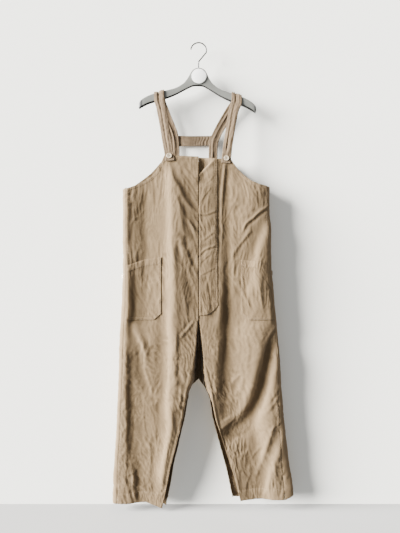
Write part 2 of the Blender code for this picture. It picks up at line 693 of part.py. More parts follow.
def strap_stations(rows, side, front, back):
    """The strap's middle line, with its width, slope and crown, as vectors of equal length."""
    centres, shapes = [], []
    for number, row in enumerate(rows):
        y = row.y
        if y is None:
            panel = front if number < len(rows) / 2 else back
            outwards = -1 if panel is front else 1
            reach = row.width / 2
            under = [
                outwards * panel.at(x, min(z, panel_top(panel, x)))[0].y
                for x in (row.x - reach, row.x, row.x + reach)
                for z in (row.z - STRAP_REST, row.z, row.z + STRAP_REST)
            ]
            y = outwards * (max(under) + SEAM_GAP + STRAP_CLOTH / 2)
        centres.append(Vector((side * row.x, y, row.z)))
        shapes.append(Vector((row.width, row.slope, row.crown)))
    return smooth_path(centres, STRAP_STEPS), smooth_path(shapes, STRAP_STEPS)


def panel_top(panel, x):
    """Height of a panel's top edge at x, a little below its rim."""
    top = FRONT_TOP if panel.points[0][0].y < 0 else BACK_TOP
    return between(top[panel.half.side], "x", abs(x)).z - FLY_TOP_INSET


def build_strap(name, rows, side, front, back, material):
    """A strap from its button over the hanger and down to the back, creased along its middle."""
    centres, shapes = strap_stations(rows, side, front, back)
    outer, inner = [], []
    for number, (centre, shape) in enumerate(zip(centres, shapes)):
        before = centres[max(number - 1, 0)]
        after = centres[min(number + 1, len(centres) - 1)]
        along = (after - before).normalized()
        slope = math.radians(shape[1])
        across = Vector((math.cos(slope), 0.0, math.sin(slope)))
        across = (across - along * across.dot(along)).normalized()
        out = across.cross(along).normalized()
        half_width = across * (shape[0] / 2)
        middle = centre + out * shape[2]
        edge_line = [centre - half_width, middle, centre + half_width]
        outer.append([point + out * (STRAP_CLOTH / 2) for point in edge_line])
        inner.append([point - out * (STRAP_CLOTH / 2) for point in edge_line])
    wall_between(name, outer, inner, material)
    return outer


def build_crosspiece(material):
    """The band across the back straps, with a slight sag between them."""
    rows = []
    for share in (0.0, 0.5, 1.0):
        row = []
        for x in CROSS_COLUMNS:
            middle = (CROSS_COLUMNS[0] + CROSS_COLUMNS[-1]) / 2
            reach = (x - middle) / (CROSS_COLUMNS[-1] - middle)
            sag = CROSS_SAG * (1 - reach**2)
            left, right = CROSS_HEIGHTS
            height = left + (right - left) * (1 + reach) / 2
            row.append(Vector((x, CROSS_Y, CROSS_TOP_Z - sag - height * share)))
        rows.append(row)
    far = [[point + Vector((0, STRAP_CLOTH, 0)) for point in row] for row in rows]
    return wall_between("crosspiece", far, rows, material)


def turned(name, profile, sides):
    """A mesh turned about Z from an (r, z) profile that starts and ends on the axis."""
    ring = [(r, z) for r, z in profile if r > 0]
    vertices = [Vector((0, 0, profile[0][1]))]
    for r, z in ring:
        for step in range(sides):
            angle = 2 * math.pi * step / sides
            vertices.append(Vector((r * math.cos(angle), r * math.sin(angle), z)))
    vertices.append(Vector((0, 0, profile[-1][1])))
    last = len(vertices) - 1
    faces = []
    for step in range(sides):
        following = (step + 1) % sides
        faces.append([0, 1 + step, 1 + following])
        foot = 1 + (len(ring) - 1) * sides
        faces.append([last, foot + following, foot + step])
        for level in range(len(ring) - 1):
            a, b = 1 + level * sides, 1 + (level + 1) * sides
            faces.append([a + step, b + step, b + following, a + following])
    return mesh_from(name, vertices, faces)


def button_mesh():
    """A four-hole button with a dished face; its back lies at z = 0."""
    profile = [
        (0.0, BUTTON_THICKNESS - BUTTON_DISH),
        (BUTTON_RADIUS - BUTTON_RIM, BUTTON_THICKNESS - BUTTON_DISH),
        (BUTTON_RADIUS - BUTTON_RIM * 0.6, BUTTON_THICKNESS),
        (BUTTON_RADIUS - BUTTON_RIM * 0.2, BUTTON_THICKNESS * 0.9),
        (BUTTON_RADIUS, BUTTON_THICKNESS * 0.55),
        (BUTTON_RADIUS - BUTTON_RIM * 0.5, 0.0),
        (0.0, 0.0),
    ]
    blank = bpy.data.objects.new("button_blank", turned("button_blank", profile, BUTTON_SIDES))
    bpy.context.collection.objects.link(blank)
    work = bmesh.new()
    for quarter in range(4):
        angle = math.radians(45 + 90 * quarter)
        place = Matrix.Translation(
            (HOLE_OFFSET * math.cos(angle), HOLE_OFFSET * math.sin(angle), BUTTON_THICKNESS / 2)
        )
        bmesh.ops.create_cone(
            work, cap_ends=True, segments=8, radius1=HOLE_RADIUS, radius2=HOLE_RADIUS,
            depth=BUTTON_THICKNESS * 3, matrix=place,
        )  # fmt: skip
    drills = bpy.data.meshes.new("button_drills")
    work.to_mesh(drills)
    work.free()
    cutter = bpy.data.objects.new("button_cutter", drills)
    bpy.context.collection.objects.link(cutter)
    cut = blank.modifiers.new("holes", "BOOLEAN")
    cut.operation = "DIFFERENCE"
    cut.solver = "EXACT"
    cut.object = cutter
    depsgraph = bpy.context.evaluated_depsgraph_get()
    mesh = bpy.data.meshes.new_from_object(blank.evaluated_get(depsgraph))
    mesh.name = "button"
    for helper in (blank, cutter):
        bpy.data.objects.remove(helper)
    return mesh


def place_button(name, mesh, point, out, material):
    """Set a button with its back on a point, facing out."""
    button = add_object(name, mesh, material)
    button.rotation_mode = "QUATERNION"
    button.rotation_quaternion = out.to_track_quat("Z", "Y")
    button.location = point
    return button


def seat_on_strap(outer, z):
    """Where a button rests on the front end of a strap, and the way it faces."""
    end = [row for row in outer[: len(outer) // 2] if abs(row[1].z - z) < BUTTON_REST]
    along = end[-1][1] - end[0][1]
    out = along.cross(end[0][2] - end[0][0]).normalized()
    out *= -1 if out.y > 0 else 1
    middle = end[0][1] + along * (z - end[0][1].z) / along.z
    rise = max((point - middle).dot(out) for row in end for point in row)
    return middle + out * (rise + SEAM_GAP), out


def build_buttons(halves, straps, material):
    """Two buttons that hold the straps to the bib, and one at each side."""
    mesh = button_mesh()
    for side, word in ((RIGHT, "right"), (LEFT, "left")):
        point, out = seat_on_strap(straps[side], BIB_BUTTON_Z[side])
        place_button(f"bib_button_{word}", mesh, point, out, material)
        z, turn = SIDE_BUTTONS[side]
        out = halves[side].normal(z, turn)
        point = halves[side].point(z, turn) + out * SEAM_GAP
        place_button(f"side_button_{word}", mesh, point, out, material)


def channel_ring(row, x):
    """One section of the hanger: an upside-down channel with rounded top corners."""
    d, wall, r = row.depth, HANGER_WALL, HANGER_TOP_ROUND
    roof = row.top - row.roof
    outline = [
        (-d, row.foot), (-d, row.top - r), (-d + 0.3 * r, row.top - 0.3 * r), (-d + r, row.top),
        (d - r, row.top), (d - 0.3 * r, row.top - 0.3 * r), (d, row.top - r), (d, row.foot),
        (d - wall, row.foot), (d - wall, roof), (wall - d, roof), (wall - d, row.foot),
    ]  # fmt: skip
    return [Vector((x, y, z)) for y, z in outline]


def build_hanger(body_material, disc_material, hook_material):
    """The hanger's body, the plain disc on its neck and the wire hook."""
    mirrored = [row._replace(x=-row.x) for row in reversed(HANGER_ARM[1:])]
    rings = [channel_ring(row, row.x) for row in mirrored + HANGER_ARM]
    size = len(rings[0])
    vertices = [point for ring in rings for point in ring]
    faces = [list(range(size)), list(range(len(vertices) - 1, len(vertices) - size - 1, -1))]
    for number in range(len(rings) - 1):
        a, b = number * size, (number + 1) * size
        for step in range(size):
            following = (step + 1) % size
            faces.append([a + step, b + step, b + following, a + following])
    tilt = Matrix.Rotation(math.radians(HANGER_TILT), 4, "Y")
    pivot = Matrix.Translation(HANGER_BOSS_CENTRE)
    lean = pivot @ tilt @ pivot.inverted()
    body = add_object("hanger_body", mesh_from("hanger_body", vertices, faces), body_material)
    body.matrix_world = lean

    profile = [
        (0.0, DISC_THICKNESS),
        (DISC_RADIUS - 0.001, DISC_THICKNESS),
        (DISC_RADIUS, DISC_THICKNESS - 0.001),
        (DISC_RADIUS, 0.0),
        (0.0, 0.0),
    ]
    disc = add_object("hanger_disc", turned("hanger_disc", profile, DISC_SIDES), disc_material)
    front = -HANGER_ARM[0].depth - SEAM_GAP
    disc.matrix_world = (
        lean
        @ Matrix.Translation(HANGER_BOSS_CENTRE + Vector((0, front, 0)))
        @ Matrix.Rotation(math.radians(90), 4, "X")
    )
    build_hook(hook_material)


def build_hook(material):
    """The wire hook: a crook that is open to one side, and its stem down to the hanger."""
    radius = CROOK_INNER_RADIUS + WIRE_RADIUS
    centre = Vector((0, 0, HOOK_TOP - CROOK_INNER_RADIUS))
    points = []
    for step in range(CROOK_POINTS):
        share = step / (CROOK_POINTS - 1)
        angle = math.radians(CROOK_TIP_ANGLE + (CROOK_END_ANGLE - CROOK_TIP_ANGLE) * share)
        points.append(centre + radius * Vector((math.cos(angle), 0, math.sin(angle))))
    points += HOOK_FOOT
    rings = []
    side = Vector((0, 1, 0))
    for number, point in enumerate(points):
        before = points[max(number - 1, 0)]
        after = points[min(number + 1, len(points) - 1)]
        along = (after - before).normalized()
        up = along.cross(side).normalized()
        ring = []
        for step in range(WIRE_SIDES):
            angle = 2 * math.pi * step / WIRE_SIDES
            ring.append(point + WIRE_RADIUS * (side * math.cos(angle) + up * math.sin(angle)))
        rings.append(ring)
    vertices = [point for ring in rings for point in ring]
    last = len(vertices)
    faces = [list(range(WIRE_SIDES)), list(range(last - 1, last - WIRE_SIDES - 1, -1))]
    for number in range(len(rings) - 1):
        a, b = number * WIRE_SIDES, (number + 1) * WIRE_SIDES
        for step in range(WIRE_SIDES):
            following = (step + 1) % WIRE_SIDES
            faces.append([a + step, b + step, b + following, a + following])
    add_object("hanger_hook", mesh_from("hanger_hook", vertices, faces), material)


def make_material(name):
    """A Principled material from the table."""
    colour, roughness, metallic = MATERIALS[name]
    material = bpy.data.materials.new(name)
    material.use_nodes = True
    shader = material.node_tree.nodes["Principled BSDF"]
    shader.inputs["Base Color"].default_value = colour
    shader.inputs["Roughness"].default_value = roughness
    shader.inputs["Metallic"].default_value = metallic
    return material


def main():
    for leftover in list(bpy.data.objects):
        bpy.data.objects.remove(leftover)
    materials = {name: make_material(name) for name in MATERIALS}
    twill = materials["twill"]
    halves = {side: Half(side) for side in (RIGHT, LEFT)}
    fronts, backs, straps = {}, {}, {}
    for side, word in ((RIGHT, "right"), (LEFT, "left")):
        half = halves[side]
        fronts[side] = Panel(half, half.front_turns, FRONT_TOP)
        backs[side] = Panel(half, half.back_turns, BACK_TOP)
        panel_walls(f"front_{word}", fronts[side], twill)
        panel_walls(f"back_{word}", backs[side], twill)
        build_pocket(f"pocket_{word}", fronts[side], POCKETS[side], twill)
        straps[side] = build_strap(
            f"strap_{word}", STRAPS[side], side, fronts[side], backs[side], twill
        )
    build_fly(fronts[LEFT], twill)
    build_crosspiece(twill)
    build_buttons(halves, straps, materials["button"])
    build_hanger(materials["hanger_grey"], materials["disc_white"], materials["chrome"])
    for part in bpy.data.objects:
        part.location.z -= HOOK_TOP


main()
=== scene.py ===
"""Chino overalls on a coat hanger: the finished look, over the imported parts.

The front faces -Y, +X is on the viewer's right and +Z is up, so the wearer's right is at -X.
Lengths are in metres and angles in degrees, except in the tables that name a smaller unit. The
heights of a piece are measured from a level HOOK_TOP below the hook's inner top, and the piece is
moved down by that much when it is made.

Each half of the garment is a tube of cloth. `turn` runs round it: from 0 at the inner leg over the
front face to 180 at the side, and on over the back face to 360. Creases are read from a table of
lines on each face, so whatever lies on a panel, such as a pocket, follows the panel's own shape.
"""

import math
from collections import namedtuple

import bmesh
import bpy
import numpy as np
from mathutils import Matrix, Vector
from mathutils.bvhtree import BVHTree

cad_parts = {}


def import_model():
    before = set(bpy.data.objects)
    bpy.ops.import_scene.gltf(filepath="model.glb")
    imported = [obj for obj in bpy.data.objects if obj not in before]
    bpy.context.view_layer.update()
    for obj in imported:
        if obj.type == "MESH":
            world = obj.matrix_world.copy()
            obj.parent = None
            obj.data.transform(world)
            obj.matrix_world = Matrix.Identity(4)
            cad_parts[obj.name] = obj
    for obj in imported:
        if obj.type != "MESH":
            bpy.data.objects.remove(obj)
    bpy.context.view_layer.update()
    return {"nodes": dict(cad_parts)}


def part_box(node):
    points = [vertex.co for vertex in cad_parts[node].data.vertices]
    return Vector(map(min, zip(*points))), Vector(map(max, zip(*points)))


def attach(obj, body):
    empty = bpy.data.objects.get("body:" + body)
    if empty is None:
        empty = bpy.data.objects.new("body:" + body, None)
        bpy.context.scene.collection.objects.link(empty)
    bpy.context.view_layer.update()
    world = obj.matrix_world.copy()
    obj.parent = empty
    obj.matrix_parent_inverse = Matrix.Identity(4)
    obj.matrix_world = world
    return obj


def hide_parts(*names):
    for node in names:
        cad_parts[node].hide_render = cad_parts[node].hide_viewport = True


# How many of each make a metre
MM, TENTH_MM = 1000, 10000
CLOTH = 0.0015
STRAP_CLOTH = 0.0024
SEAM_GAP = 0.0003
LAYER_GAP = 0.0009
RIGHT, LEFT, BOTH = -1, 1, 0
WORDS = {RIGHT: "right", LEFT: "left"}
FRONT, BACK = "front", "back"
HOOK_TOP = 0.0165
CHEST_Z = -0.560
HEM_TURN = 0.038
BIB_BUTTON_X, BIB_BUTTON_Z, BIB_FLAT_RADIUS = 0.103, -0.414, 0.026
# Distances between the points of a panel, across and down
PANEL_STEPS = {FRONT: (0.0028, 0.0031), BACK: (0.0042, 0.0044)}
# How square the oval of each half is: 2 is an ellipse, and more is squarer
SIDE_ROUND = {(RIGHT, FRONT): 8.0, (LEFT, FRONT): 4.0, (RIGHT, BACK): 3.6, (LEFT, BACK): 3.6}
INNER_ROUND = 10.0
# No fold takes more of the garment's depth than this leaves
LEAST_DEPTH = 0.4

# The tube's cross-section at each height, as the solid parts have it, in millimetres and degrees
SECTION = "z inner outer front back mid wrap_side wrap_inner join_front join_back".split()
SECTIONS = {
    RIGHT: [
        (-400, 0, 276, 36, 30, -2, 15, 0, 90, 90), (-560, 0, 276, 46, 34, -2, 15, 0, 90, 90),
        (-840, 0, 276, 52, 36, -2, 16, 0, 90, 90), (-1003, 0, 283, 52, 37, -2, 16, 0, 90, 90),
        (-1024, 0, 285, 52, 37, -2, 16, 0, 52, 90), (-1060, 0, 287, 51, 37, -2, 16, 0, 31, 90),
        (-1130, 0, 289, 49, 37, -2, 16, 0, 15, 90), (-1190, 0, 291, 47, 36, -1, 16, 0, 7, 50),
        (-1226, 0, 293, 45, 34, 0, 16, 0, 0, 0), (-1246, 25, 294, 43, 32, 0, 16, 2, 0, 0),
        (-1270, 36, 295, 42, 31, 0, 16, 3, 0, 0), (-1356, 50, 299, 38, 28, 0, 16, 5, 0, 0),
        (-1443, 70, 304, 34, 26, 0, 16, 7, 0, 0), (-1532, 92, 310, 31, 24, 0, 16, 9, 0, 0),
        (-1622, 107, 313, 29, 23, 0, 17, 11, 0, 0), (-1700, 124, 315, 28, 22, 0, 18, 12, 0, 0),
    ],
    LEFT: [
        (-400, 0, 259, 36, 30, -2, 8, 0, 90, 90), (-560, 0, 260, 46, 34, -2, 8, 0, 90, 90),
        (-840, 0, 269, 52, 36, -2, 8, 0, 90, 90), (-1003, 0, 286, 52, 37, -2, 9, 0, 90, 90),
        (-1024, 0, 288, 52, 37, -2, 9, 0, 52, 90), (-1060, 0, 291, 51, 37, -2, 10, 0, 31, 90),
        (-1130, 0, 296, 49, 37, -2, 11, 0, 15, 90), (-1190, 0, 300, 47, 36, -1, 12, 0, 7, 50),
        (-1226, 0, 302, 45, 34, 0, 13, 0, 0, 0), (-1246, 17, 304, 43, 32, 0, 14, 3, 0, 0),
        (-1270, 32, 306, 42, 31, 0, 15, 5, 0, 0), (-1300, 43, 308, 41, 30, 0, 16, 7, 0, 0),
        (-1365, 52, 313, 38, 28, 0, 19, 10, 0, 0), (-1464, 78, 324, 34, 26, 0, 25, 16, 0, 0),
        (-1555, 103, 337, 31, 24, 0, 31, 21, 0, 0), (-1600, 113, 345, 29, 23, 0, 34, 24, 0, 0),
        (-1670, 128, 350, 28, 22, 0, 36, 26, 0, 0),
    ],
}

# Top and bottom outlines, from the centre line outwards, as (x, z) in millimetres
TOPS = {
    (RIGHT, FRONT): [
        (0, -409), (124, -404), (136, -432), (155, -467), (176, -487), (200, -501), (230, -514),
        (261, -525), (276, -529)
    ],
    (LEFT, FRONT): [
        (0, -410), (121, -420), (133, -442), (150, -462), (171, -481), (192, -496), (222, -508),
        (251, -515), (259, -517)
    ],
    (RIGHT, BACK): [
        (0, -418), (142, -418), (157, -436), (177, -458), (207, -482.5), (240, -506), (262, -522.5),
        (276, -529)
    ],
    (LEFT, BACK): [
        (0, -418), (133, -422), (148, -443), (169, -464), (197, -486), (228, -502), (251, -515),
        (259, -517)
    ],
}
HEMS = {
    RIGHT: [(124, -1693), (140, -1687), (195, -1669), (253, -1674), (314, -1673)],
    LEFT: [(126, -1664), (150, -1666), (240, -1659), (318, -1659), (350, -1646)],
}
TOPS = {key: np.array(points) / MM for key, points in TOPS.items()}
HEMS = {side: np.array(points) / MM for side, points in HEMS.items()}

# The largest folds, in millimetres: side, face, height (a trough is below 0), width on the -X side
# of the line and on its +X side, and the line's (x, z) points. All but the seat's run downwards.
FOLDS = [
    # wearer's right: the long crest from the bib button to the hem, and the hollow beside the seam
    (RIGHT, FRONT, 15.5, 31, 62,
     [(-94, -510), (-88, -600), (-86, -760), (-87, -900), (-88, -1030)]),
    (RIGHT, FRONT, 15.5, 31, 130, [(-89, -1123), (-92, -1200), (-100, -1400), (-124, -1540)]),
    (RIGHT, FRONT, -16, 46, 58,
     [(-196, -590), (-200, -640), (-194, -760), (-196, -880), (-200, -970)]),
    (RIGHT, FRONT, -10, 34, 70,
     [(-222, -1160), (-224, -1220), (-228, -1420), (-214, -1560), (-214, -1660)]),
    (RIGHT, FRONT, -3, 22, 22, [(-60, -480), (-12, -610)]),
    (RIGHT, FRONT, -3, 26, 26, [(-50, -730), (-22, -930)]),
    # wearer's left: the fall from the fly to the pleat, and the two folds of the leg
    (LEFT, FRONT, -13, 72, 130, [(108, -500), (112, -620), (116, -760), (114, -900)]),
    (LEFT, FRONT, -15, 54, 55, [(110, -1020), (108, -1100), (106, -1200), (112, -1310)]),
    (LEFT, FRONT, -14, 26, 26, [(12, -380), (10, -436)]),
    (LEFT, FRONT, 6, 45, 45, [(182, -540), (174, -640)]),
    (LEFT, FRONT, 7, 35, 35, [(252, -680), (240, -740), (216, -860)]),
    (LEFT, FRONT, -16, 36, 32,
     [(274, -1075), (254, -1120), (242, -1180), (216, -1290), (180, -1362), (140, -1400)]),
    (LEFT, FRONT, -17, 75, 34, [(200, -1450), (218, -1560), (224, -1660)]),
    (LEFT, FRONT, 6, 40, 40, [(266, -1440), (264, -1600)]),
    # the back: the dents beside the centre, the seat (level, across both halves) and the legs
    (RIGHT, BACK, -7, 26, 26, [(-104, -500), (-122, -1050)]),
    (LEFT, BACK, -7, 26, 26, [(92, -500), (112, -980)]),
    (BOTH, BACK, 7, 50, 50, [(-80, -980), (75, -980)]),
    (RIGHT, BACK, -6, 26, 26, [(-150, -1200), (-190, -1560)]),
    (LEFT, BACK, -6, 26, 26, [(160, -1180), (222, -1540)]),
]

# Creases, in millimetres: half width, then (x, z, steepness) along the line. Where the steepness is
# above 0 the cloth falls away towards +X or downwards across the line, and below 0 it rises.
FRONT_CREASES = [
    # wearer's right, bib and body: the side hollow, the long crest and its fall
    (8, (-252, -535, 0.5), (-253, -650, 0.65), (-252, -760, 0.4), (-250, -900, 0.6),
        (-250, -1000, 0.5)),
    (14, (-238, -545, 0.15), (-238, -700, 0.15), (-238, -850, 0.15), (-238, -1000, 0.25)),
    (12, (-200, -540, 0.05), (-204, -600, 0.15), (-204, -680, 0.2), (-198, -760, 0.1)),
    (9, (-251, -1000, 0.5), (-252, -1100, 0.3), (-256, -1250, 0.55), (-256, -1400, 0.5),
        (-258, -1520, 0.3), (-266, -1640, 0.1)),
    (4, (-262, -1060, 0.1), (-258, -1140, 0.4), (-264, -1210, 0.1)),
    (4, (-246, -1330, 0.1), (-240, -1390, 0.45), (-247, -1450, 0.1)),
    (16, (-112, -480, -0.2), (-112, -600, -0.2), (-110, -800, -0.2), (-108, -1000, -0.15)),
    (8, (-66, -560, 0.15), (-58, -640, 0.2), (-54, -700, 0.1)),
    (8, (-100, -432, 0.4), (-85, -490, 0.5), (-66, -520, 0.5), (-38, -575, 0.5), (-2, -612, 0.4)),
    (4, (-60, -468, 0.25), (-28, -515, 0.45), (-3, -560, 0.4)),
    (3, (-48, -452, 0.2), (-22, -480, 0.35), (-6, -500, 0.3)),
    (4, (-50, -500, 0.2), (-25, -540, 0.4), (-4, -575, 0.3)),
    (6, (-76, -555, 0.2), (-48, -620, 0.4), (-4, -682, 0.4)),
    (8, (-56, -560, 0.2), (-52, -630, 0.4), (-46, -700, 0.2)),
    (4, (-34, -640, 0.2), (-14, -672, 0.3)),
    (3, (-113, -440, 0.3), (-115, -480, 0.35), (-119, -545, 0.2)),
    (3, (-128, -450, 0.15), (-134, -500, 0.25), (-140, -560, 0.15)),
    (4, (-200, -515, 0.1), (-204, -560, 0.3), (-203, -590, 0.1)),
    (4, (-186, -510, 0.2), (-190, -545, 0.3), (-197, -580, 0.1)),
    (5, (-165, -498, 0.2), (-162, -550, 0.3), (-160, -610, 0.1)),
    (4, (-176, -500, 0.15), (-176, -540, 0.2)), (4, (-150, -480, 0.15), (-149, -520, 0.2)),
    (5, (-225, -535, 0.2), (-238, -556, 0.3), (-252, -566, 0.2)),
    (5, (-232, -560, 0.2), (-244, -580, 0.3)),
    (14, (-214, -560, 0.1), (-222, -620, 0.15), (-216, -690, 0.1)),
    (5, (-222, -632, 0.2), (-238, -650, 0.35), (-242, -680, 0.2)),
    # the second fan of drags, from the crest to the fly
    (9, (-88, -700, 0.2), (-80, -780, 0.3), (-76, -860, 0.3), (-74, -980, 0.1)),
    (9, (-85, -700, -0.2), (-60, -760, -0.35), (-40, -830, -0.35), (-20, -900, -0.2)),
    (6, (-52, -715, 0.3), (-28, -785, 0.5), (-6, -832, 0.3)),
    (4, (-20, -660, 0.3), (-5, -700, 0.3)), (4, (-15, -720, 0.3), (-3, -770, 0.35)),
    (5, (-60, -860, 0.15), (-45, -930, 0.25), (-38, -980, 0.15)),
    (3, (-15, -945, 0.3), (-12, -1000, 0.3)),
    # pocket and what shows through it
    (4, (-244, -758, 0.3), (-240, -792, 0.4), (-246, -830, 0.2)),
    (4, (-222, -760, 0.2), (-221, -782, 0.35), (-226, -805, 0.2)),
    (5, (-200, -790, 0.2), (-206, -830, 0.25), (-204, -870, 0.1)),
    (9, (-240, -830, 0.4), (-240, -900, 0.5), (-240, -990, 0.45)),
    (5, (-172, -800, -0.1), (-180, -860, -0.2), (-188, -930, -0.1)),
    (5, (-160, -840, 0.1), (-170, -900, 0.2), (-190, -965, 0.1)),
    (3, (-165, -970, 0.3), (-142, -998, 0.3)), (3, (-180, -975, 0.2), (-160, -1000, 0.25)),
    # thigh and shin
    (8, (-226, -1038, 0.15), (-200, -1075, 0.4), (-186, -1100, 0.4), (-174, -1135, 0.1)),
    (12, (-240, -1020, -0.2), (-214, -1085, -0.4), (-198, -1190, -0.3), (-162, -1288, -0.2)),
    (5, (-192, -1175, 0.3), (-168, -1250, 0.5), (-160, -1272, 0.2)),
    (4, (-160, -1265, -0.2), (-146, -1238, -0.4), (-138, -1215, -0.1)),
    (4, (-186, -1122, 0.1), (-172, -1133, 0.3)), (4, (-192, -1142, 0.3), (-168, -1158, 0.4)),
    (4, (-185, -1165, 0.2), (-160, -1182, 0.4)), (4, (-180, -1188, 0.2), (-155, -1200, 0.3)),
    (20, (-116, -1000, -0.3), (-112, -1100, -0.45), (-112, -1200, -0.4), (-124, -1330, -0.25)),
    (7, (-74, -1020, 0.1), (-72, -1080, 0.2), (-76, -1150, 0.2), (-84, -1290, 0.1)),
    (5, (-25, -1005, -0.3), (-45, -1030, -0.4), (-66, -1052, -0.3)),
    (4, (-20, -1015, 0.3), (-42, -1043, 0.4), (-60, -1062, 0.3)),
    (5, (-75, -1058, 0.3), (-75, -1080, 0.5), (-76, -1105, 0.3)),
    (4, (-50, -1046, 0.3), (-24, -1072, 0.35)), (4, (-55, -1062, 0.2), (-30, -1092, 0.35)),
    (4, (-60, -1080, 0.2), (-38, -1108, 0.3)),
    (4, (-34, -1183, -0.35), (-50, -1270, -0.45), (-64, -1356, -0.45), (-84, -1443, -0.4),
        (-106, -1532, -0.35), (-122, -1622, -0.3)),
    (4, (-75, -1198, 0.3), (-74, -1252, 0.35)), (4, (-60, -1238, 0.3), (-61, -1292, 0.35)),
    (4, (-102, -1180, 0.1), (-98, -1240, 0.3), (-104, -1280, 0.1)),
    (5, (-250, -1180, 0.3), (-262, -1222, -0.3), (-268, -1262, 0.3), (-272, -1302, -0.3)),
    (5, (-262, -1318, 0.3), (-272, -1335, 0.4), (-266, -1360, 0.2)),
    (5, (-268, -1402, 0.3), (-276, -1422, 0.4), (-266, -1440, 0.2)),
    (5, (-268, -1485, 0.3), (-276, -1502, 0.4), (-262, -1528, 0.3)),
    (3, (-200, -1340, 0.3), (-195, -1390, 0.4), (-184, -1432, 0.2)),
    (3, (-166, -1308, 0.3), (-160, -1372, 0.3)), (4, (-192, -1436, 0.3), (-174, -1462, 0.4)),
    (6, (-173, -1440, 0.25), (-171, -1500, 0.35), (-175, -1562, 0.2)),
    (20, (-118, -1330, -0.3), (-113, -1400, -0.35), (-130, -1500, -0.35), (-146, -1610, -0.3)),
    (4, (-82, -1298, -0.3), (-64, -1332, -0.3)),
    (9, (-88, -1330, 0.3), (-90, -1400, 0.35), (-112, -1500, 0.35), (-126, -1600, 0.3)),
    (10, (-235, -1545, 0.2), (-228, -1590, 0.6), (-226, -1655, 0.4)),
    (5, (-288, -1560, 0.2), (-262, -1590, 0.3), (-248, -1640, 0.3)),
    (4, (-210, -1530, 0.1), (-232, -1560, 0.3), (-262, -1572, 0.2)),
    (3, (-300, -1606, 0.4), (-295, -1642, 0.4)),
    # wearer's left: the pleat beside the fly, from the button down
    (6, (93, -440, -0.3), (84, -500, -0.4), (78, -570, -0.3), (76, -680, -0.2), (76, -780, -0.05)),
    (6, (99, -442, 0.5), (96, -500, 0.45), (90, -560, 0.3), (88, -640, 0.25), (88, -700, 0.2)),
    (4, (98, -600, 0.2), (96, -660, 0.3), (97, -720, 0.1)),
    (8, (94, -640, 0.1), (96, -740, 0.2), (94, -830, 0.35), (92, -920, 0.35), (90, -985, 0.1)),
    (6, (84, -780, 0.15), (79, -880, 0.3), (76, -970, 0.1)),
    (3, (86, -600, 0.5), (88, -680, 0.5), (84, -760, 0.3)),
    (3, (101, -760, 0.2), (105, -820, 0.35), (104, -880, 0.2)),
    (10, (112, -470, -0.2), (116, -560, -0.3), (118, -700, -0.3), (122, -900, -0.15)),
    (3, (120, -436, 0.2), (136, -460, 0.3), (150, -490, 0.1)),
    (5, (160, -520, 0.1), (168, -545, 0.3), (164, -580, 0.15)),
    (4, (213, -535, 0.2), (214, -562, 0.35), (218, -590, 0.15)),
    (4, (238, -525, 0.2), (240, -548, 0.35), (236, -590, 0.2)),
    (4, (226, -530, 0.2), (229, -556, 0.3)),
    (5, (256, -592, 0.7), (226, -612, 0.9), (200, -635, 0.9), (176, -655, 0.8), (163, -680, 0.5)),
    (18, (262, -640, -0.2), (228, -700, -0.4), (200, -790, -0.3), (194, -880, -0.2)),
    (5, (186, -688, 0.4), (160, -720, 0.5), (141, -746, 0.45), (130, -772, 0.3)),
    (5, (128, -760, 0.2), (132, -820, 0.3), (126, -880, 0.2)),
    (14, (90, -780, 0.1), (94, -860, 0.3), (90, -950, 0.4), (86, -1000, 0.35)),
    (6, (80, -928, 0.2), (90, -965, 0.3), (84, -1004, 0.2)),
    (8, (258, -660, 0.2), (258, -760, 0.25), (260, -880, 0.2), (268, -1000, 0.4)),
    (5, (150, -868, 0.3), (175, -920, 0.45), (194, -962, 0.3)),
    (7, (170, -868, -0.1), (185, -930, -0.25), (190, -965, -0.1)),
    (5, (232, -845, 0.1), (226, -900, 0.25), (238, -960, 0.15)),
    (4, (176, -800, 0.1), (182, -840, 0.2), (178, -870, 0.1)),
    # placket
    (3, (42, -528, 0.3), (22, -556, 0.4), (6, -582, 0.3)), (3, (28, -558, 0.2), (8, -590, 0.35)),
    (3, (36, -575, 0.2), (34, -606, 0.3)), (4, (6, -622, 0.3), (32, -622, 0.5), (60, -610, 0.35)),
    (4, (22, -712, 0.3), (50, -690, 0.35)), (4, (6, -767, 0.5), (26, -748, 0.6), (60, -736, 0.5)),
    (3, (14, -790, 0.3), (36, -770, 0.35)), (3, (10, -840, 0.3), (34, -828, 0.3), (56, -815, 0.3)),
    (3, (30, -868, 0.3), (36, -910, 0.4), (40, -962, 0.3)),
    (3, (14, -918, 0.3), (26, -960, 0.35), (42, -982, 0.3)), (3, (46, -868, 0.2), (46, -932, 0.3)),
    (3, (56, -480, 0.2), (40, -500, 0.3), (22, -512, 0.2)), (3, (22, -640, 0.3), (24, -690, 0.3)),
    # wearer's left thigh and shin
    (18, (92, -900, 0.1), (90, -980, 0.4), (88, -1060, 0.5), (82, -1140, 0.5), (78, -1220, 0.4),
        (74, -1330, 0.3)),
    (6, (96, -1000, 0.2), (94, -1080, 0.3), (88, -1160, 0.15)),
    (4, (26, -1200, -0.4), (46, -1290, -0.55), (60, -1365, -0.6), (86, -1464, -0.6),
        (110, -1555, -0.5), (124, -1620, -0.4)),
    (4, (36, -1200, 0.4), (56, -1290, 0.5), (70, -1365, 0.5), (96, -1464, 0.5), (121, -1555, 0.4),
        (136, -1620, 0.3)),
    (3, (108, -1188, 0.3), (118, -1250, 0.4), (136, -1312, 0.2)),
    (5, (282, -1030, 0.6), (262, -1058, 0.8), (246, -1095, 0.7), (234, -1140, 0.6)),
    (18, (242, -1110, 0.55), (224, -1200, 0.7), (204, -1270, 0.75), (184, -1325, 0.7),
        (162, -1358, 0.7), (120, -1390, 0.45)),
    (14, (270, -1130, -0.3), (258, -1200, -0.4), (244, -1270, -0.3), (224, -1330, -0.2)),
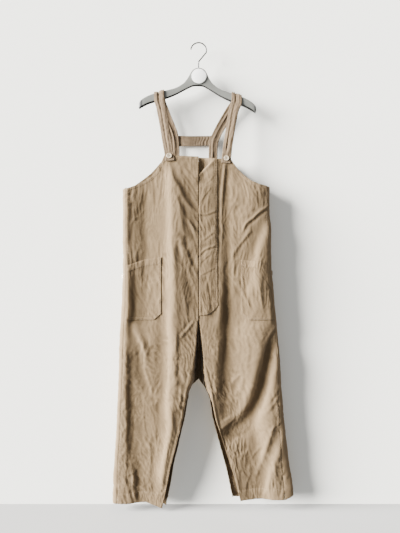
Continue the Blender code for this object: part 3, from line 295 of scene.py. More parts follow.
    (5, (296, -1250, 0.3), (275, -1282, 0.4), (262, -1300, 0.2)),
    (5, (288, -1290, 0.3), (268, -1322, 0.4), (252, -1338, 0.2)),
    (4, (140, -1020, 0.1), (152, -1080, 0.25), (148, -1130, 0.1)),
    (5, (175, -1060, 0.1), (186, -1110, 0.3), (178, -1170, 0.15)),
    (5, (150, -1150, 0.1), (164, -1210, 0.3), (158, -1270, 0.15)),
    (4, (200, -1035, 0.2), (214, -1062, 0.3), (222, -1090, 0.1)),
    (5, (126, -1372, 0.4), (108, -1386, 0.5), (86, -1402, 0.3)),
    (5, (120, -1350, -0.2), (100, -1362, -0.4), (84, -1370, -0.2)),
    (4, (128, -1400, 0.2), (112, -1416, 0.3)),
    (5, (226, -1468, 0.3), (216, -1485, 0.4), (204, -1502, 0.2)),
    (3, (302, -1374, 0.5), (284, -1388, 0.6), (264, -1406, 0.4)),
    (9, (272, -1408, 0.5), (250, -1480, 0.6), (224, -1562, 0.4)),
    (12, (300, -1410, -0.3), (278, -1490, -0.5), (246, -1600, -0.35)),
    (4, (312, -1553, 0.5), (304, -1580, 0.5), (298, -1602, 0.3)),
    (5, (308, -1600, -0.3), (300, -1640, -0.4)),
    (5, (150, -1440, 0.2), (136, -1500, 0.3), (150, -1570, 0.1)),
    (4, (196, -1560, 0.1), (180, -1600, 0.3), (176, -1640, 0.2)),
    (4, (170, -1400, 0.1), (160, -1440, 0.2)), (3, (214, -1590, 0.1), (206, -1640, 0.3)),
    (3, (268, -1560, 0.2), (258, -1612, 0.3), (262, -1650, 0.2)),
]
BACK_CREASES = [
    (10, (-88, -470, 0.3), (-78, -600, 0.4), (-60, -740, 0.4), (-30, -880, 0.3)),
    (9, (84, -470, -0.3), (76, -600, -0.4), (62, -740, -0.35), (34, -880, -0.25)),
    (7, (-120, -500, -0.3), (-130, -700, -0.4), (-138, -900, -0.3)),
    (8, (118, -500, 0.3), (130, -680, 0.4), (142, -860, 0.4), (150, -1000, 0.3)),
    (6, (-200, -560, 0.3), (-186, -620, 0.5), (-150, -680, 0.4)),
    (6, (206, -560, -0.3), (184, -630, -0.4), (150, -700, -0.4)),
    (5, (-30, -520, 0.2), (-14, -600, 0.35), (-6, -700, 0.2)),
    (5, (26, -500, -0.2), (14, -580, -0.3), (8, -660, -0.2)),
    (6, (-230, -740, 0.2), (-214, -830, 0.4), (-220, -930, 0.3)),
    (7, (226, -720, -0.2), (216, -820, -0.4), (224, -920, -0.3)),
    # the seat, and the drags from it down the legs
    (7, (-160, -930, 0.3), (-96, -985, 0.5), (-40, -1030, 0.4)),
    (7, (150, -950, -0.3), (92, -1000, -0.5), (40, -1036, -0.4)),
    (6, (-130, -1010, 0.3), (-84, -1050, 0.5), (-34, -1090, 0.4)),
    (6, (124, -1030, -0.3), (80, -1064, -0.45), (30, -1100, -0.4)),
    (5, (-90, -1080, 0.2), (-50, -1120, 0.4)), (5, (96, -1090, -0.2), (54, -1132, -0.4)),
    (9, (-150, -1080, -0.3), (-160, -1200, -0.4), (-176, -1340, -0.3)),
    (9, (152, -1080, 0.3), (166, -1200, 0.45), (184, -1340, 0.3)),
    (6, (-226, -1160, 0.2), (-200, -1240, 0.4), (-176, -1300, 0.3)),
    (6, (240, -1140, -0.2), (212, -1230, -0.45), (190, -1290, -0.3)),
    (5, (-120, -1300, 0.2), (-146, -1340, 0.4), (-186, -1362, 0.3)),
    (5, (120, -1330, -0.2), (150, -1366, -0.4), (196, -1390, -0.3)),
    (5, (-108, -1380, 0.2), (-140, -1410, 0.4), (-180, -1424, 0.2)),
    (8, (-220, -1400, 0.3), (-228, -1500, 0.4), (-224, -1640, 0.3)),
    (8, (232, -1420, -0.3), (246, -1520, -0.45), (250, -1640, -0.3)),
    (5, (-160, -1500, 0.2), (-176, -1560, 0.35), (-170, -1640, 0.2)),
    (5, (176, -1500, -0.2), (196, -1570, -0.35), (200, -1640, -0.2)),
]
CREASES = {FRONT: FRONT_CREASES, BACK: BACK_CREASES}

# Below the crotch the fronts part over the seam that runs back between the legs: millimetres below
# the hook, half width of the valley, and the share of the front's depth that is left at the seam
CROTCH_VALLEY = {
    RIGHT: [
        (1000, 1, 1.0), (1020, 4, 0.6), (1045, 7, 0.0), (1090, 10, -0.3), (1137, 16, -0.5),
        (1190, 23, -0.6), (1225, 30, -0.5), (1245, 40, -0.3), (1262, 46, 0.2), (1300, 52, 1.0)
    ],
    LEFT: [
        (1000, 1, 1.0), (1020, 4, 0.6), (1045, 9, 0.0), (1090, 14, -0.3), (1137, 19, -0.5),
        (1190, 23, -0.6), (1225, 27, -0.5), (1245, 34, -0.3), (1262, 42, 0.2), (1300, 48, 1.0)
    ],
}

# Fine crumples: cell size across and down, height, and their share of it in the legs
Crumple = namedtuple("Crumple", "across down height leg_share seed")
CRUMPLES = [
    Crumple(0.060, 0.190, 0.0022, 0.9, 11), Crumple(0.028, 0.110, 0.0019, 1.1, 12),
    Crumple(0.015, 0.060, 0.0022, 1.2, 13), Crumple(0.0085, 0.028, 0.0017, 1.2, 14),
]

FLY_EDGE, FLY_STITCH = 0.002, 0.068
FLY_FOOT_Z, FLY_FOOT_RISE = -0.984, 0.036
# The top folds back along a slant, from this height at the edge
FLY_SLANT_Z, FLY_SLANT_RISE, FLY_RECESS = -0.478, 0.98, 0.0045
FLY_BUTTONS_Z = (-0.500, -0.618, -0.738, -0.858)
UNDERLAP_EDGE, UNDERLAP_FOOT_Z = 0.045, -0.950

# A height near the pockets' mouths, and how far short of the side seam they end
POCKET_MOUTH_Z, POCKET_SEAM = -0.790, 0.0006
# Inner edge, then the (x, z) points of the mouth and of the foot, in millimetres
POCKETS = {
    RIGHT: (134.5, [(134, -774), (200, -784), (260, -806)],
            [(134, -978), (160, -1001), (262, -1001)]),
    LEFT: (153.5, [(152, -783), (225, -792), (262, -810)],
           [(157, -983), (178, -1001), (270, -1001)]),
}

# Straps, as the solid parts have them, in tenths of a millimetre: middle line (x, y, z), width,
# slope of the width in degrees, height of the crease. Where y is None the strap lies on the cloth.
STRAPS = {
    RIGHT: [
        (1040, None, -4260, 340, 0, 0), (1055, None, -4060, 340, 0, 4),
        (1130, -385, -3650, 340, 0, 20), (1230, -310, -3050, 340, 0, 30),
        (1350, -220, -2350, 360, 0, 20), (1430, -165, -2000, 380, 8, 6),
        (1445, -143, -1800, 380, 15, 0), (1450, -138, -1700, 380, 15, 0),
        (1452, -95, -1636, 380, 15, 0), (1452, 0, -1630, 380, 15, 0), (1452, 95, -1636, 380, 15, 0),
        (1450, 138, -1700, 380, 15, 0), (1445, 143, -1800, 380, 15, 0),
        (1405, 165, -1960, 370, 8, 4), (1310, 195, -2220, 360, 0, 15),
        (1120, 245, -2680, 350, 0, 25), (965, 285, -3060, 340, 0, 12), (895, 305, -3380, 330, 0, 0),
        (885, 310, -3700, 330, 0, 0), (885, None, -4270, 330, 0, 0), (885, None, -4560, 330, 0, 0),
    ],
    LEFT: [
        (995, None, -4320, 340, 0, 0), (1010, None, -4140, 340, 0, 4),
        (1060, -385, -3700, 340, 0, 20), (1160, -310, -3070, 340, 0, 30),
        (1280, -220, -2400, 360, 0, 20), (1380, -165, -2090, 380, -8, 6),
        (1395, -143, -1895, 380, -19, 0), (1398, -138, -1790, 380, -19, 0),
        (1400, -95, -1726, 380, -19, 0), (1400, 0, -1720, 380, -19, 0),
        (1400, 95, -1726, 380, -19, 0), (1398, 138, -1790, 380, -19, 0),
        (1395, 143, -1895, 380, -19, 0), (1340, 165, -2060, 370, -10, 4),
        (1200, 195, -2250, 360, 0, 15), (930, 250, -2680, 350, 0, 25),
        (710, 285, -3080, 340, 0, 12), (580, 305, -3380, 330, 0, 0), (545, 310, -3700, 330, 0, 0),
        (540, None, -4270, 330, 0, 0), (540, None, -4560, 330, 0, 0),
    ],
}
STRAP_REST = 0.012
STRAP_BOX_TOP_Z = -0.423

CROSS_ENDS = (-0.106, 0.071)
CROSS_HEIGHTS = (0.040, 0.035)
CROSS_TOP_Z, CROSS_SAG, CROSS_Y = -0.316, 0.002, 0.0336

BUTTON_THICK, BUTTON_HOLE_AT = 0.0034, 0.0021
# Outlines that are turned round, as (radius, height) in millimetres
BUTTON_PROFILE = [
    (0, 2.45), (3.6, 2.45), (4.6, 2.55), (6, 2.8), (7, 3), (7.7, 3.35), (8.4, 3.4), (9.1, 3.25),
    (9.6, 2.7), (9.8, 2), (9.6, 0.8), (8.8, 0.1), (0, 0),
]
DISC_PROFILE = [
    (0, 2.4), (26.2, 2.4), (26.8, 2.2), (27.1, 2), (27.5, 2.6), (28.2, 3), (28.8, 2.9), (29.3, 2.4),
    (29.5, 1.8), (29.5, 0.4), (29.1, 0), (0, 0),
]

# The hanger's arm, in tenths of a millimetre: x, top, foot, half depth, thickness of the roof
HANGER_ARM = [
    (0, -755, -1400, 90, 30), (120, -778, -1405, 90, 30), (230, -850, -1430, 90, 30),
    (300, -955, -1465, 90, 30), (360, -1080, -1495, 90, 30), (440, -1215, -1540, 92, 30),
    (560, -1355, -1605, 95, 30), (800, -1515, -1745, 100, 30), (1100, -1620, -1880, 108, 30),
    (1450, -1715, -2000, 116, 30), (1800, -1850, -2120, 122, 30), (2030, -1990, -2240, 124, 40),
    (2130, -2090, -2310, 110, 100), (2160, -2160, -2330, 80, 110),
]
HANGER_TILT = 2.2
HANGER_WALL, HANGER_TOP_ROUND, HANGER_LIP, HANGER_NECK_DEPTH = 0.0025, 0.004, 0.0007, 0.009
HANGER_DARK_FROM = 0.206
DISC_CENTRE = Vector((0.0, 0.0, -0.108))

WIRE_RADIUS = 0.0024
CROOK_INNER_RADIUS = 0.0265
CROOK_ANGLES = (172.0, -36.0)
HOOK_FOOT = [(0.0030, 0.0, -0.0478), (0.0000, 0.0, -0.0545), (-0.0005, 0.0, -0.0749)]

# The stage, from the hook's inner top. The view is VIEW_HEIGHT high at VIEW_DISTANCE.
WALL_Y, FLOOR_Z = 0.046, -1.7215
SENSOR_HEIGHT, VIEW_HEIGHT, VIEW_DISTANCE = 24.0, 1.94, 2.0


# --- Numbers on lines and grids


def smoothstep(low, high, value):
    share = np.clip((value - low) / (high - low), 0.0, 1.0)
    return share * share * (3 - 2 * share)


def bell(value):
    return np.exp(-(value**2))


def unit(vectors):
    return vectors / np.linalg.norm(vectors, axis=-1, keepdims=True)


def walked(points):
    """How far along a line each of its points is."""
    return np.concatenate([[0], np.cumsum(np.linalg.norm(np.diff(points, axis=0), axis=1))])


def read_off(at, where, rows):
    """Each column of a table of rows, at new places along it."""
    return np.stack([np.interp(at, where, column) for column in np.transpose(rows)], axis=1)


def by_face(front, value_of):
    """value_of(FRONT) where `front` is true, and value_of(BACK) elsewhere."""
    return np.where(front, value_of(FRONT), value_of(BACK))


def smooth_points(points, steps):
    """A smooth curve through all of the points (rows of numbers), with `steps` between each two."""
    p = np.asarray(points, float)
    p = np.vstack([2 * p[0] - p[1], p, 2 * p[-1] - p[-2]])
    a, b, c, d = p[:-3], p[1:-2], p[2:-1], p[3:]
    square, cube = 2 * a - 5 * b + 4 * c - d, 3 * b - a - 3 * c + d
    shares = np.arange(steps) / steps
    curve = [0.5 * (2 * b + (c - a) * t + square * t**2 + cube * t**3) for t in shares]
    return np.vstack([np.stack(curve, axis=1).reshape(-1, p.shape[1]), p[-2]])


def noise(u, v, seed):
    """Smooth seeded noise between about -1 and 1, one bump to a unit."""
    angles = np.random.default_rng(seed).uniform(0, 2 * math.pi, (64, 64))
    iu, iv = np.floor(u).astype(int), np.floor(v).astype(int)
    fu, fv = u - iu, v - iv

    def corner(du, dv):
        angle = angles[(iu + du) % 64, (iv + dv) % 64]
        return np.cos(angle) * (fu - du) + np.sin(angle) * (fv - dv)

    su, sv = fu**3 * (fu * (fu * 6 - 15) + 10), fv**3 * (fv * (fv * 6 - 15) + 10)
    low = corner(0, 0) * (1 - su) + corner(1, 0) * su
    high = corner(0, 1) * (1 - su) + corner(1, 1) * su
    return 1.5 * (low * (1 - sv) + high * sv)


def line_offset(points, x, z):
    """Distance from a line of (x, z) points, the place along it, and the way past its ends.

    The distance is above 0 on the +X side of a line that runs down.
    """
    best = np.full(x.shape, np.inf)
    signed, where, past = np.zeros(x.shape), np.zeros(x.shape), np.zeros(x.shape)
    for number, (a, b) in enumerate(zip(points, points[1:])):
        dx, dz = b[0] - a[0], b[1] - a[1]
        length = math.hypot(dx, dz)
        along = ((x - a[0]) * dx + (z - a[1]) * dz) / length
        across = (dx * (z - a[1]) - dz * (x - a[0])) / length
        inside = np.clip(along, 0, length)
        away = np.hypot(across, along - inside)
        nearer = away < best
        beyond = np.zeros(x.shape)
        if number == 0:
            beyond = np.maximum(beyond, -along)
        if number == len(points) - 2:
            beyond = np.maximum(beyond, along - length)
        distance = np.where(beyond > 0, across, np.sign(across) * away)
        best = np.where(nearer, away, best)
        signed = np.where(nearer, distance, signed)
        where = np.where(nearer, number + inside / length, where)
        past = np.where(nearer, beyond, past)
    return signed, where, past


def edge_distance(line, x, z):
    """Distance of each point to a line of (x, z) points."""
    offset, _, past = line_offset(line, x, z)
    return np.hypot(offset, past)


def crease_height(creases, side, x, z):
    """How far the creases of a table push the cloth out at (x, z)."""
    total = np.zeros(x.shape)
    for width, *points in creases:
        if not any(side * point[0] > 0 for point in points):
            continue
        line = smooth_points(points, 4) / MM
        if line[0][1] < line[-1][1]:
            line = line[::-1]
        width = width / MM
        reach = 3.2 * width
        near = (x > line[:, 0].min() - reach) & (x < line[:, 0].max() + reach)
        near &= (z > line[:, 1].min() - reach) & (z < line[:, 1].max() + reach)
        if not near.any():
            continue
        offset, where, past = line_offset(line, x[near], z[near])
        steep = np.interp(where, np.arange(len(line)), line[:, 2] * MM) * 0.85
        fade = np.exp(-0.5 * (past / (1.2 * width)) ** 2)
        slope = offset * np.exp(-0.5 * (offset / width) ** 2)
        crisp = 0.25 * width * np.exp(-np.abs(offset) / (0.5 * width)) * (width < 0.012)
        total[near] -= steep * (slope + crisp) * fade
    return total


def fold_height(side, face, x, z):
    """How far the largest folds push one face of a half outwards at (x, z)."""
    total = np.zeros(x.shape)
    for fold_side, fold_face, *sizes, line in FOLDS:
        if fold_face == face and fold_side in (side, BOTH):
            height, width, fall = np.array(sizes) / MM
            offset, _, past = line_offset(smooth_points(np.array(line) / MM, 3), x, z)
            reach = np.where(offset > 0, fall, width)
            total += height * np.exp(-((offset / reach) ** 2) - (past / (1.8 * width)) ** 2)
    return total


# --- The garment's surface

LEVELS = np.arange(-1.720, -0.380, 0.002)
# How far round and down the surface its directions are measured
TURN_STEP, HEIGHT_STEP = 0.6, 0.003


class Half:
    """One half of the garment: the wearer's right or left, body and leg."""

    def __init__(self, side):
        self.side = side
        rows = np.array(SECTIONS[side], float)[::-1]
        rows[:, :-2] /= MM  # the last two columns are angles
        blur = np.exp(-0.5 * (np.arange(-12, 13) / 4.0) ** 2)
        blur /= blur.sum()
        self.table = {}
        for name, column in zip(SECTION[1:], rows.T[1:]):
            values = np.interp(LEVELS, rows[:, 0], column)
            if name != "inner":
                values = np.convolve(np.pad(values, 12, mode="edge"), blur, mode="valid")
            self.table[name] = values

    def get(self, name, z):
        return np.interp(z, LEVELS, self.table[name])

    def inner(self, z):
        return np.maximum(self.get("inner", z), SEAM_GAP / 2)

    def inner_edge(self, z):
        return self.inner(z) + self.get("wrap_inner", z)

    def side_edge(self, z):
        return self.get("outer", z) - self.get("wrap_side", z)

    def oval(self, z, front):
        """Middle and half width of the tube's oval, where `front` is true on the front face."""
        join = np.radians(by_face(front, lambda face: self.get("join_" + face, z)))
        outer = self.get("outer", z)
        half = (outer - self.inner(z)) / (1 + np.cos(join))
        return outer - half, half

    def base(self, z, turn):
        """The outer surface at heights and turns, with the largest folds only, and its bulge."""
        front = turn <= 180
        middle, half = self.oval(z, front)
        across = np.cos(np.radians(turn))
        side_round = by_face(front, lambda face: SIDE_ROUND[self.side, face])
        power = np.where(across > 0, INNER_ROUND, side_round)
        bulge = np.maximum(0.0, 1 - np.abs(across) ** power) ** (1 / power)
        x = self.side * (middle - half * across)
        folds = by_face(front, lambda face: fold_height(self.side, face, x, z))
        depth = by_face(front, lambda face: self.get(face, z))
        depth = np.maximum(depth + folds, LEAST_DEPTH * depth) * bulge
        depth = np.where(front, -depth * self.valley(np.abs(x), z), depth)
        return np.stack([x, self.get("mid", z) + depth, z], axis=-1), bulge

    def valley(self, x, z):
        """What is left of the front's depth between the legs, where the crotch seam runs back."""
        heights, widths, floors = np.transpose(CROTCH_VALLEY[self.side])
        width = np.interp(-z, heights / MM, widths / MM)
        floor = np.interp(-z, heights / MM, floors)
        share = np.clip(x / np.maximum(width, 0.001), 0, 1)
        return floor + (1 - floor) * smoothstep(0.35, 1.0, share)

    def cloth(self, z, turn, lift=0.0):
        """Points `lift` off the creased surface at heights and turns, and the way out of it."""
        here, bulge = self.base(z, turn)
        around = self.base(z, turn + TURN_STEP)[0] - self.base(z, turn - TURN_STEP)[0]
        down = self.base(z - HEIGHT_STEP, turn)[0] - self.base(z + HEIGHT_STEP, turn)[0]
        out = unit(np.cross(around, down) * -self.side)
        x, front = here[..., 0], turn <= 180
        height = by_face(front, lambda face: crease_height(CREASES[face], self.side, x, z))
        height += crumple_height(x, z, front)
        height *= smoothstep(0.0, 0.55, bulge)
        # the sides have crumples of their own
        middle, _ = self.oval(z, front)
        outside = (np.abs(x) > middle) * (1 - smoothstep(0.2, 0.7, bulge))
        height += outside * side_crumple(here[..., 1], z + self.side)
        # the strap and its button hold the bib's corner flat
        button = np.hypot(np.abs(x) - BIB_BUTTON_X, z - BIB_BUTTON_Z)
        height *= np.where(front, 1 - bell(button / BIB_FLAT_RADIUS), 1.0)
        return here + out * (height + lift)[..., None], out

    def turn_at(self, z, x, face=FRONT):
        """The turn at which a face passes a distance x from the centre line."""
        middle, half = self.oval(z, np.full(np.shape(z), face == FRONT))
        turn = np.degrees(np.arccos(np.clip((middle - x) / half, -1, 1)))
        return turn if face == FRONT else 360 - turn

    def side_seam(self, z):
        return self.turn_at(z, self.side_edge(z))

    def inner_seam(self, z):
        return self.turn_at(z, self.inner_edge(z))

    def front_at(self, x, z, lift=0.0):
        """Points off the creased front at distances x from the centre line and heights z."""
        return self.cloth(z, np.minimum(self.turn_at(z, x), self.side_seam(z) - 0.15), lift)


def crumple_height(x, z, front):
    """The small crumples left by washing: long and soft in the body, shorter in the legs."""
    leg = smoothstep(-0.92, -1.10, z)
    shift = np.where(front, 0.0, 3.7)

    def layer(crumple, short, slant):
        seed = crumple.seed + 7 * (short < 1)
        wander = noise(x / 0.10 + shift, z / 0.13, seed + 50)
        u = x / crumple.across + wander * 0.03 / crumple.across + shift
        v = z / (crumple.down * short) + 0.5 * noise(x / 0.05, z / 0.05, seed + 70)
        lines = noise(u + 9.3 + slant * v, v * 0.9, seed + 20)
        crisp = 0.35 - np.sqrt(lines**2 + 0.0025)
        patch = 0.55 + 0.95 * noise(x / 0.09 + 5.1 + shift, z / 0.12, seed + 90)
        return crumple.height * np.maximum(patch, 0.12) * (0.35 * noise(u, v, seed) + crisp)

    total = np.zeros(x.shape)
    for crumple in CRUMPLES:
        total += (1 - leg) * layer(crumple, 1.0, 0.3)
        total += crumple.leg_share * leg * layer(crumple, 0.7, 0.8)
    return total


def side_crumple(y, z):
    """The crumples of the narrow strip between front and back at the side."""
    lines = 0.3 - np.abs(noise(y / 0.018 + z / 0.09, z / 0.045 + 4.4, 16))
    return 0.0022 * noise(y / 0.035 + 2.2, z / 0.085, 15) + 0.0016 * lines


# --- Meshes


def shares_along(length, step, fine=0.0010):
    """Shares from 0 to 1 about `step` apart, with one extra line close to each end."""
    count = max(2, round(length / step))
    edge = fine / length
    return np.concatenate([[0.0], np.linspace(edge, 1 - edge, count), [1.0]])


def link(name, data):
    """A new object of the scene."""
    piece = bpy.data.objects.new(name, data)
    bpy.context.scene.collection.objects.link(piece)
    return piece


def new_object(name, vertices, faces, material):
    mesh = bpy.data.meshes.new(name)
    vertices = np.asarray(vertices, float).reshape(-1, 3) - [0, 0, HOOK_TOP]
    mesh.from_pydata(vertices.tolist(), [], faces)
    mesh.polygons.foreach_set("use_smooth", [True] * len(mesh.polygons))
    mesh.materials.append(material)
    return link(name, mesh)


def shell(name, outer, inner, material):
    """The closed wall between two grids of points with the same rows and columns."""
    rows, columns = outer.shape[:2]
    count = rows * columns
    index = np.arange(count).reshape(rows, columns)
    quads = np.stack([index[:-1, :-1], index[:-1, 1:], index[1:, 1:], index[1:, :-1]], axis=-1)
    quads = quads.reshape(-1, 4)
    rim = np.concatenate([index[0, :-1], index[:-1, -1], index[-1, :0:-1], index[:0:-1, 0]])
    following = np.roll(rim, -1)
    edge = np.stack([rim, rim + count, following + count, following], axis=-1)
    r, c = rows // 2, columns // 2
    corner, right, down = outer[r, c], outer[r, c + 1], outer[r + 1, c]
    if np.dot(np.cross(right - corner, down - corner), corner - inner[r, c]) < 0:
        quads, edge = quads[:, ::-1], edge[:, ::-1]
    faces = np.concatenate([quads, quads[:, ::-1] + count, edge]).tolist()
    vertices = np.concatenate([outer.reshape(-1, 3), inner.reshape(-1, 3)])
    piece = new_object(name, vertices, faces, material)
    # how faded each point is, with painted highlight and painted shade from its relief, from 0 to
    # 1, for the cloth's material
    values = np.concatenate([painted_shade_and_fading(outer, outer - inner), painted_shade_and_fading(inner, inner - outer)])
    fade_and_painted_shade = piece.data.attributes.new("fade_and_painted_shade", "FLOAT", "POINT")
    fade_and_painted_shade.data.foreach_set("value", values.astype(np.float32))
    return piece


def blurred(grid, reach):
    """A grid of numbers averaged over a square of `reach` cells each way."""
    for axis in (0, 1):
        pad = [(0, 0)] * grid.ndim
        pad[axis] = (reach + 1, reach)
        total = np.cumsum(np.pad(grid, pad, mode="edge"), axis=axis)
        size = 2 * reach + 1
        ahead = np.take(total, np.arange(size, total.shape[axis]), axis=axis)
        grid = (ahead - np.take(total, np.arange(total.shape[axis] - size), axis=axis)) / size
    return grid


def painted_shade_and_fading(surface, out):
    """How washed out each point is, and how light or dark it is painted: paler on ridges and turned
    edges, darker in the hollows, partly fading and partly painted highlight and painted shade.
    """
    out = out / np.maximum(np.linalg.norm(out, axis=-1, keepdims=True), 1e-9)
    value = 0.5
    # three scales of relief: painted highlight on what stands proud, painted shade on what sinks
    for reach, relief, share in ((2, 0.00035, 0.17), (6, 0.0016, 0.20), (24, 0.0035, 0.30)):
        proud = ((surface - blurred(surface, reach)) * out).sum(-1)
        value = value + share * np.tanh(proud / relief)
    return np.clip(value, 0, 1).ravel()


def rounded(distance, thickness=CLOTH, radius=0.0014):
    """How far a cloth edge rolls in: nothing well inside it, most at the edge itself."""
    share = np.clip(1 - distance / radius, 0, 1)
    return thickness * 0.38 * (1 - np.sqrt(np.maximum(0.0, 1 - share**2)))


def turned_edge(distance, depth, step=0.0007):
    """The extra height of an edge that is turned under and stitched `depth` in from it."""
    return step * (1 - smoothstep(depth - 0.002, depth + 0.003, distance))


def puckers(along, distance, period, reach, height, seed):
    """Small ripples across a stitched line, which fade within `reach` of it."""
    wave = np.sin(2 * math.pi * (along / period + 0.6 * noise(along / 0.03, 0.5, seed)))
    strength = 0.6 + 0.6 * noise(along / 0.05, 7.5, seed + 1)
    return height * wave * strength * bell(distance / reach)


# --- The sewn pieces


def height_on(line, x):
    """The height at x of a line of (x, z) points."""
    return np.interp(x, line[:, 0], line[:, 1])


def top_of(side, face, x):
    return height_on(TOPS[side, face], x)


def panel_grid(half, face, step_across, step_down):
    """Heights and turns of a panel's rows and columns, from its top edge to its hem."""
    seam, centre = half.side_seam(CHEST_Z), half.turn_at(CHEST_Z, SEAM_GAP / 2, face)
    first, last = (centre, seam) if face == FRONT else (seam, centre)
    fine = np.linspace(first, last, 600)
    length = walked(half.base(np.full(600, CHEST_Z), fine)[0])
    turns = np.interp(shares_along(length[-1], step_across) * length[-1], length, fine)
    share = (turns - first) / (last - first)

    def turns_at(z):
        if face == FRONT:
            start, stop = half.inner_seam(z), half.side_seam(z) - 0.1
        else:
            open_end = np.minimum(half.turn_at(z, half.inner(z), BACK), 359.9)
            leg_end = 360 + half.inner_seam(z) - 0.1
            start = half.side_seam(z) + 0.1
            stop = np.where(half.get("join_back", z) > 1.0, open_end, leg_end)
        return start + (stop - start) * share

    def x_at(z, turn):
        return np.abs(half.base(np.full(len(turn), z), turn)[0][:, 0])

    edge = top_of(half.side, face, x_at(CHEST_Z, turns))
    lead = shares_along(abs(CHEST_Z - edge.max()), step_down)[:-2, None]
    hem = HEMS[half.side]
    hem_z = hem[:, 1].mean()
    foot = height_on(hem, x_at(hem_z, turns_at(np.full(len(turns), hem_z))))
    down = np.append(0.0, shares_along(CHEST_Z - hem_z, step_down)[2:])[:, None]
    z = np.vstack([edge + (CHEST_Z - edge) * lead, CHEST_Z + (foot - CHEST_Z) * down])
    return z, turns_at(z)


def make_panel(half, face, material):
    """A front or back panel in one cut, with its turned edges, hem and rolled seams."""
    side = half.side
    z, turn = panel_grid(half, face, *PANEL_STEPS[face])
    plain, _ = half.base(z, turn)
    x = np.abs(plain[..., 0])
    to_top = edge_distance(TOPS[side, face], x, z)
    to_hem = edge_distance(HEMS[side], x, z)
    arc = np.zeros(z.shape)
    arc[:, 1:] = np.cumsum(np.linalg.norm(np.diff(plain, axis=1), axis=-1), axis=1)
    ends = (arc, arc[:, -1:] - arc)
    to_centre, to_side = ends if face == FRONT else ends[::-1]
    lift = turned_edge(to_top, 0.009) + turned_edge(to_hem, HEM_TURN, 0.0009)
    lift += puckers(x, to_hem - HEM_TURN, period=0.0085, reach=0.009, height=0.0005, seed=31)
    lift += puckers(x, to_top - 0.009, period=0.0075, reach=0.007, height=0.00035, seed=33)
    lift += puckers(z, to_side, period=0.0095, reach=0.012, height=0.0004, seed=35)
    if side == RIGHT:  # the left half's centre seam lies flat
        lift += puckers(z, to_centre, period=0.0100, reach=0.012, height=0.0004, seed=37)
    edge = rounded(np.minimum(to_top, to_hem))
    roll = np.maximum(edge, rounded(np.minimum(*ends), CLOTH * 1.3, 0.0022))
    outer, out = half.cloth(z, turn, lift - roll)
    inner = outer - out * (CLOTH - 1.5 * roll)[..., None]
    return shell(f"made_{face}_{WORDS[side]}", outer, inner, material)


def make_layer(name, half, x, z, lift, edge, material):
    """Cloth that lies `lift` off a front, at (x, z) places that are `edge` away from its edges."""
    roll = rounded(edge)
    near, out = half.front_at(x, z, lift)
    outer = near + out * (CLOTH - roll)[..., None]
    return shell(name, outer, near + out * (0.6 * roll)[..., None], material)


def pocket_lines(side):
    """A pocket's inner edge, and the points of its mouth and of its foot."""
    return [np.array(values) / MM for values in POCKETS[side]]


def make_pocket(half, material):
    """A patch pocket with a hemmed, sloping mouth, a cut corner and puckered stitched edges."""
    side = half.side
    inner, mouth, foot = pocket_lines(side)
    u, v = np.meshgrid(shares_along(0.125, 0.0023), shares_along(0.215, 0.0023))
    x = inner + (half.side_edge(POCKET_MOUTH_Z) - POCKET_SEAM - inner) * u
    z = height_on(mouth, x) + (height_on(foot, x) - height_on(mouth, x)) * v
    side_edge = half.side_edge(z) - POCKET_SEAM
    x = inner + (side_edge - inner) * u
    to_top, to_foot = np.abs(height_on(mouth, x) - z), np.abs(z - height_on(foot, x))
    sewn = np.minimum(to_foot, x - inner)
    lift = 0.0009 * (1 - smoothstep(0.020, 0.024, to_top)) + turned_edge(sewn, 0.009, 0.0005)
    along = x + z
    lift += puckers(along, sewn - 0.008, period=0.0085, reach=0.008, height=0.0006, seed=41 + side)
    lift += puckers(x, to_top - 0.021, period=0.0100, reach=0.009, height=0.0004, seed=43 + side)
    # the mouth stands a little open, and the cloth sags from it
    gape = 0.0045 * bell(to_top / 0.030) * np.sin(math.pi * u) ** 1.5
    middle = np.sin(math.pi * u) * np.sin(math.pi * v)
    loose = 0.0022 * middle * (1 + 0.8 * noise(x / 0.03, z / 0.055, 45 + side))
    lift = np.maximum(lift + gape + loose, 0.0) * smoothstep(-0.001, 0.010, side_edge - x)
    edge = np.minimum(to_top, sewn)
    return make_layer(f"made_pocket_{WORDS[side]}", half, x, z, LAYER_GAP + lift, edge, material)


def placket_foot(x):
    share = np.clip((x - FLY_EDGE) / (FLY_STITCH - FLY_EDGE), 0, 1)
    return FLY_FOOT_Z + FLY_FOOT_RISE * share**3


def make_placket(half, material):
    """The placket that laps over the centre front: open at its top, stitched down one side."""
    u, v = np.meshgrid(shares_along(0.066, 0.0021), shares_along(0.560, 0.0024))
    x = FLY_EDGE + (FLY_STITCH - FLY_EDGE) * u
    top = top_of(LEFT, FRONT, x) - 0.001
    z = top + (placket_foot(x) - top) * v
    to_edge, to_stitch = x - FLY_EDGE, FLY_STITCH - x
    lift = 0.0006 * (1 - smoothstep(0.004, 0.007, to_edge))
    lift += puckers(z, to_stitch - 0.001, period=0.0090, reach=0.010, height=0.0006, seed=51)
    lift += 0.0014 * np.sin(math.pi * u) * (1 + noise(x / 0.02, z / 0.03, 53))
    # pulled in where the hidden buttons hold it
    wander = noise(x / 0.02, z / 0.02, 55) * 0.004
    for button_z in FLY_BUTTONS_Z:
        lift -= 0.0016 * bell(np.hypot((x - 0.022) / 1.6, z - button_z + wander) / 0.010)
    # the top folds back on a slant and shows the recess behind it
    slant = z - FLY_SLANT_Z - (x - FLY_EDGE) * FLY_SLANT_RISE
    lift += 0.0035 * bell(slant / 0.009) * smoothstep(0.062, 0.030, x)
    sunk = smoothstep(0.002, 0.010, slant) * smoothstep(0.060, 0.030, x) * smoothstep(0, 0.003, x)
    lift = LAYER_GAP + (np.maximum(lift, -0.0006) - FLY_RECESS * sunk)
    edge = np.minimum.reduce([to_edge, to_stitch, top - z, z - placket_foot(x)])
    return make_layer("made_fly_placket", half, x, z, lift, edge, material)


